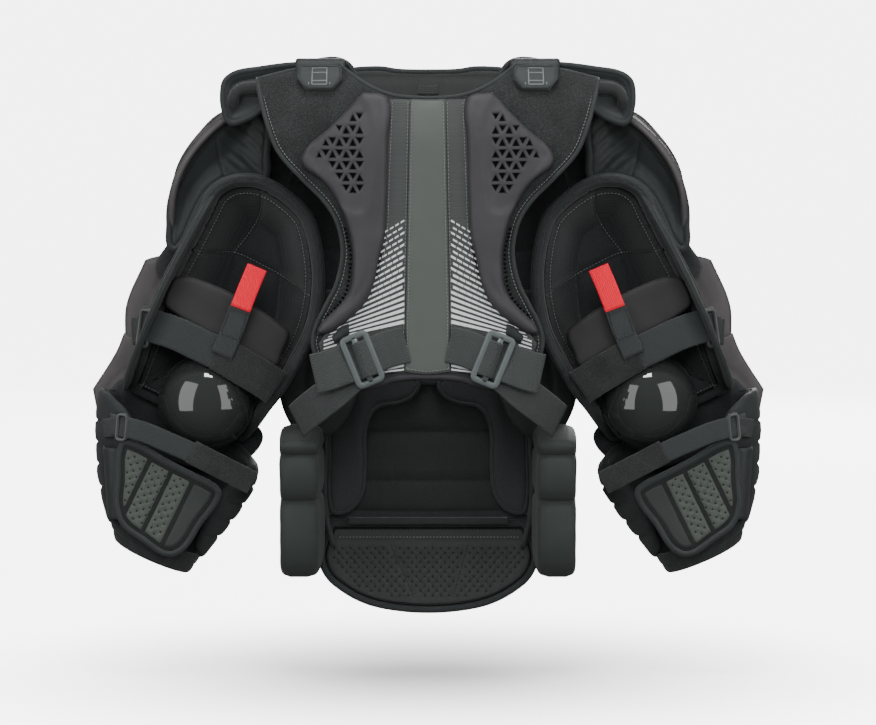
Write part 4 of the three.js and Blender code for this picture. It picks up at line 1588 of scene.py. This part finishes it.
# ---------------------------------------------------------------- chest and belly
def chest_at(back_by):
    """The chest plate's surface, moved towards the wearer's back."""
    return lambda x, z: 112 - 0.0005 * x * x - back_by


CHEST_OUTLINE = mirrored_loop([(0, -26), (84, -22), (112, -8), (178, -8), (192, -50), (194, -110),
                               (182, -180), (160, -240), (134, -288, 1), (0, -290)])


def make_chest():
    """The chest plate's lining and the two quilted blocks in front of it."""
    plate = pad("chest_plate_cover", CHEST_OUTLINE, on(chest_at(4)), 9, LINER, edge=12,
                rim=3, spacing=8, seams=[[(-180, -120), (180, -120)], [(-165, -205), (165, -205)]],
                quilt=14, seam_depth=3, ripple=1.0, back=6)
    place(plate, "chest", "liner_fabric", ["chest_plate"])
    block = [(6, -50), (60, -48), (150, -50), (176, -68), (182, -120), (170, -180), (150, -240),
             (124, -278), (60, -282), (6, -282)]
    seams = [[(6, -110), (182, -104)], [(6, -168), (174, -166)], [(6, -226), (156, -224)]]
    cover = pad("chest_block_cover_right", block, on(chest_at(-1)), 24, SHELL, side=-1, edge=18,
                rim=8, spacing=7, seams=seams, quilt=14, seam_depth=6, ripple=1.2, back=0)
    place(cover, "chest", "cap_cover", ["chest_block_right"])


def make_collar():
    """The collar pad, its roll and a loop to hang it by."""
    collar = mirrored_loop([(0, -24), (60, -22), (88, -10), (98, 4), (98, 30, 1), (60, 31),
                            (40, 28), (0, 27)])
    seams = [[(-96, 18), (96, 18)], [(-16, -22), (-16, 17)], [(16, -22), (16, 17)]]
    neck = pad("collar_cover", collar, flat(103), 6, BELLY_MESH, edge=6, rim=3, spacing=5,
               seams=seams, quilt=6, seam_depth=1.5, ripple=0.6, back=6)
    place(neck, "chest", "nylon_fabric", ["collar_pad"])
    roll = binding("collar_binding", collar, flat(103), TAPE, half_width=4, half_height=6.5,
                   out=0)
    place(roll, "chest", "nylon_fabric")
    loop = strap("hanging_loop", [(-13, 96, 4), (-6, 92, 3), (6, 92, 3), (13, 96, 4)], 12, 1.8,
                 WEBBING)
    place(loop, "chest", "webbing")


def make_belly():
    """The belly lining with its side pads, centre tab, edge tape and piped bar."""
    belly = mirrored_loop([(0, -298), (120, -299), (129, -306), (133, -420), (132, -500),
                           (128, -548, 1), (0, -550)])
    seams = [[(-130, -441), (130, -441)], [(-130, -372), (130, -372)],
             [(-130, -505), (130, -505)]]
    liner = pad("belly_liner_cover", belly, flat(124), 11, BELLY_KNIT, edge=14, rim=3, spacing=8,
                seams=seams, quilt=16, seam_depth=3.5, ripple=1.0, back=1)
    place(liner, "belly", "liner_fabric", ["belly_liner"])
    inner = [(14, -377), (20, -394), (38, -403), (64, -408), (76, -420), (82, -440), (83, -490),
             (87, -522), (102, -543), (125, -547), (128, -540), (130, -470), (128, -377, 1)]
    side_pad = pad("belly_side_pad_cover_right", inner, flat(111), 10, LINER, edge=9, rim=4,
                   spacing=6, ripple=1.0, ripple_size=26, seed=2, back=1)
    place(side_pad, "belly", "liner_fabric", ["belly_side_pad_right"])
    tape = binding("belly_side_pad_binding_right", inner, flat(109), TAPE, half_width=3.6,
                   half_height=5, out=2)
    place(tape, "belly", "liner_fabric")
    tab = pad("belly_centre_tab", [(-14, -352, 1), (14, -352, 1), (14, -380, 1), (-14, -380, 1)],
              flat(111), 5, TAB_CLOTH, edge=4, rim=3, spacing=6, rings=(1.2, 3))
    place(tab, "belly", "webbing")
    edge = smooth([(118, -404), (131, -424), (134, -470), (136, -520), (132, -560), (124, -590)],
                  4.0, False)
    path, ups = lift(edge, flat(100), 0)
    place(tube("belly_edge_tape_right", path, ups, 4, 5, TAPE), "belly", "liner_fabric")
    bar = strap("belly_piped_bar", [(-104, 103, -558), (0, 103, -558), (104, 103, -558)], 9, 6,
                BINDING)
    place(bar, "belly", "liner_fabric")


def make_extension():
    """The perforated apron below the belly, bound, seamed and stitched; its holes are shallow pits
    floored with painted shade.
    """
    apron = mirrored_loop([(0, -562), (127, -562, 1), (134, -578), (141, -608), (132, -632),
                           (112, -650), (82, -666), (50, -674), (0, -678)])
    border = smooth(apron, 4.0)
    lines = [[(-122, -588), (122, -588)], [(-50, -590), (-18, -662)], [(52, -590), (32, -662)]]
    seam_lines = [smooth(s, 3.0, False) for s in lines]

    def keep(x, z):
        p = np.array([[x, z]])
        if not inside(p, border)[0] or z > -594:
            return False
        return distance(p, [closed_line(border)])[0] > 14 and distance(p, seam_lines)[0] > 3.4

    holes = perforations((-140, -60), (140, 70), (0, -630), 0.0, 10.8, keep)
    cover = pad("belly_extension_cover", apron, flat(128), 13, [BELLY_MESH, PIT_SHADE],
                edge=12, rim=5, spacing=6, seams=lines, quilt=12, seam_depth=3, cuts=holes,
                cut_depth=1.3, cut_slope=0.3, back=3, ripple=0.5)
    place(cover, "belly_flap", "mesh_fabric", ["belly_extension"])
    tape = binding("belly_extension_binding", apron, flat(122), TAPE, half_width=5.2,
                   half_height=10, out=1)
    place(tape, "belly_flap", "liner_fabric")
    seam_stitches("belly_extension_seams", lines[1:], flat(128), DARK_THREAD, 11.5,
                  "belly_flap", "mesh_fabric")
    piping = offset_loop(smooth(apron, 4.0), 7.5)
    path, ups = lift(piping, flat(128), 13.2)
    place(tube("belly_extension_piping", path, ups, 1.6, 1.6, DARK_THREAD, True), "belly_flap",
          "liner_fabric")
    rows = [[(-118, -571), (118, -571)], [(-118, -581), (118, -581)]]
    seam_stitches("belly_extension_stitches", rows, flat(128), THREAD, 13.2,
                  "belly_flap", "mesh_fabric")


def make_front_links():
    """The thin fabric that joins belly to extension and chest to belly."""
    hinge = [(-138, -540), (138, -540), (137, -575), (-137, -575)]
    link = pad("belly_link", [(*p, 1) for p in hinge], flat(121), 3, LINER, edge=4, rim=2,
               spacing=8, rings=(2, 4), back=3)
    place(link, "belly", "liner_fabric", (),
          bend=("belly_flap", (0, 121, -548), (0, 121, -566)))

    fold = [(-118, -270, 1), (118, -270, 1), (124, -316, 1), (-124, -316, 1)]
    joint = pad("chest_link", fold, flat(119), 3, LINER, side=-1, edge=4, rim=2, spacing=8,
                rings=(2, 4), back=3)
    place(joint, "chest", "liner_fabric", (),
          bend=("belly", (0, 119, -280), (0, 119, -304)))


def make_belly_front():
    """The quilted block in front of the belly."""
    shield = mirrored_loop([(0, -334), (104, -335), (112, -345), (114, -430), (108, -525),
                            (98, -533), (0, -534)])
    seams = [[(-112, z), (112, z)] for z in (-384, -434, -484)]
    front = pad("belly_front_cover", shield, flat(127), 23, SHELL, side=-1, edge=18, rim=7,
                spacing=8, seams=seams, quilt=16, seam_depth=7, ripple=1.0)
    place(front, "belly", "cap_cover", ["belly_front_pad"])


def make_ribs():
    """The puffy blocks that wrap the ribs."""

    def side_face(u, v):
        """u runs from the back towards the front, v up; the outward side looks along +x."""
        return np.stack([150 + 4 * np.cos(u / 60), u, v], 1)

    rows = [("upper", -439, -456, 4), ("middle", -457, -515, 8), ("lower", -516, -609, 12)]
    for label, top, bottom, corner in rows:
        lower = corner * 1.4
        block = [(-48 + corner, top), (104 - corner, top), (104, top - corner),
                 (104, bottom + lower), (104 - lower, bottom), (-48 + lower, bottom),
                 (-48, bottom + lower), (-48, top - corner)]
        cover = pad(f"rib_{label}_cover_right", block, side_face, 34, RIB_COVER,
                    edge=12 if label != "upper" else 8, rim=22, spacing=6, ripple=1.0,
                    ripple_size=30, seed=ord(label[0]), back=15)
        place(cover, "rib_wing_right", "rib_cover", [f"rib_block_{label}_right"])
    wing = [(112, -262), (146, -256), (178, -290), (194, -340), (192, -396), (182, -424),
            (170, -440), (120, -440)]
    side = pad("side_wing_right", wing, flat(84), 7, NYLON, edge=9, rim=3, spacing=6,
               seams=[[(150, -262), (158, -350), (166, -436)]], quilt=8, seam_depth=2, back=5,
               ripple=1.2)
    place(side, "chest", "nylon_fabric", (),
          bend=("belly", (0, 84, -270), (0, 84, -330)))
    web = [(118, -436), (150, -437), (152, -500), (151, -556), (136, -553), (122, -546)]
    panel = pad("rib_link_right", web, flat(108), 4, BINDING, edge=5, rim=2, spacing=7, back=4)
    place(panel, "belly", "liner_fabric", (),
          bend=("rib_wing_right", (126, 108, -520), (142, 108, -520)))


def make_waist_loop():
    """The small fabric loop above each buckle."""
    piece = [(97, -287, 1), (106, -290, 1), (118, -303, 1), (114, -312, 1), (96, -300, 1)]
    loop = pad("waist_loop_right", piece, on(back_at(-4)), 3, NYLON, edge=3, rim=1.5, spacing=5,
               rings=(1.2, 3))
    place(loop, "back_plate", "webbing")


# ---------------------------------------------------------------- everything in turn
make_camera()
make_world()
make_backdrop()
make_lights()
for make in (make_back_panel, make_moulding, make_spine, make_hem, make_yoke, make_shoulder_tab,
             make_deltoid, make_cap, make_shoulder_sleeve, make_shoulder_links, make_arm_liner,
             make_arm_armour, make_side_wall, make_strap_pad, make_straps, make_elbow,
             make_forearm, make_cuff, make_wrist_flap, make_flap_hinge, make_elbow_sleeve,
             make_chest, make_collar, make_belly, make_extension, make_front_links,
             make_belly_front, make_ribs, make_waist_loop):
    make()
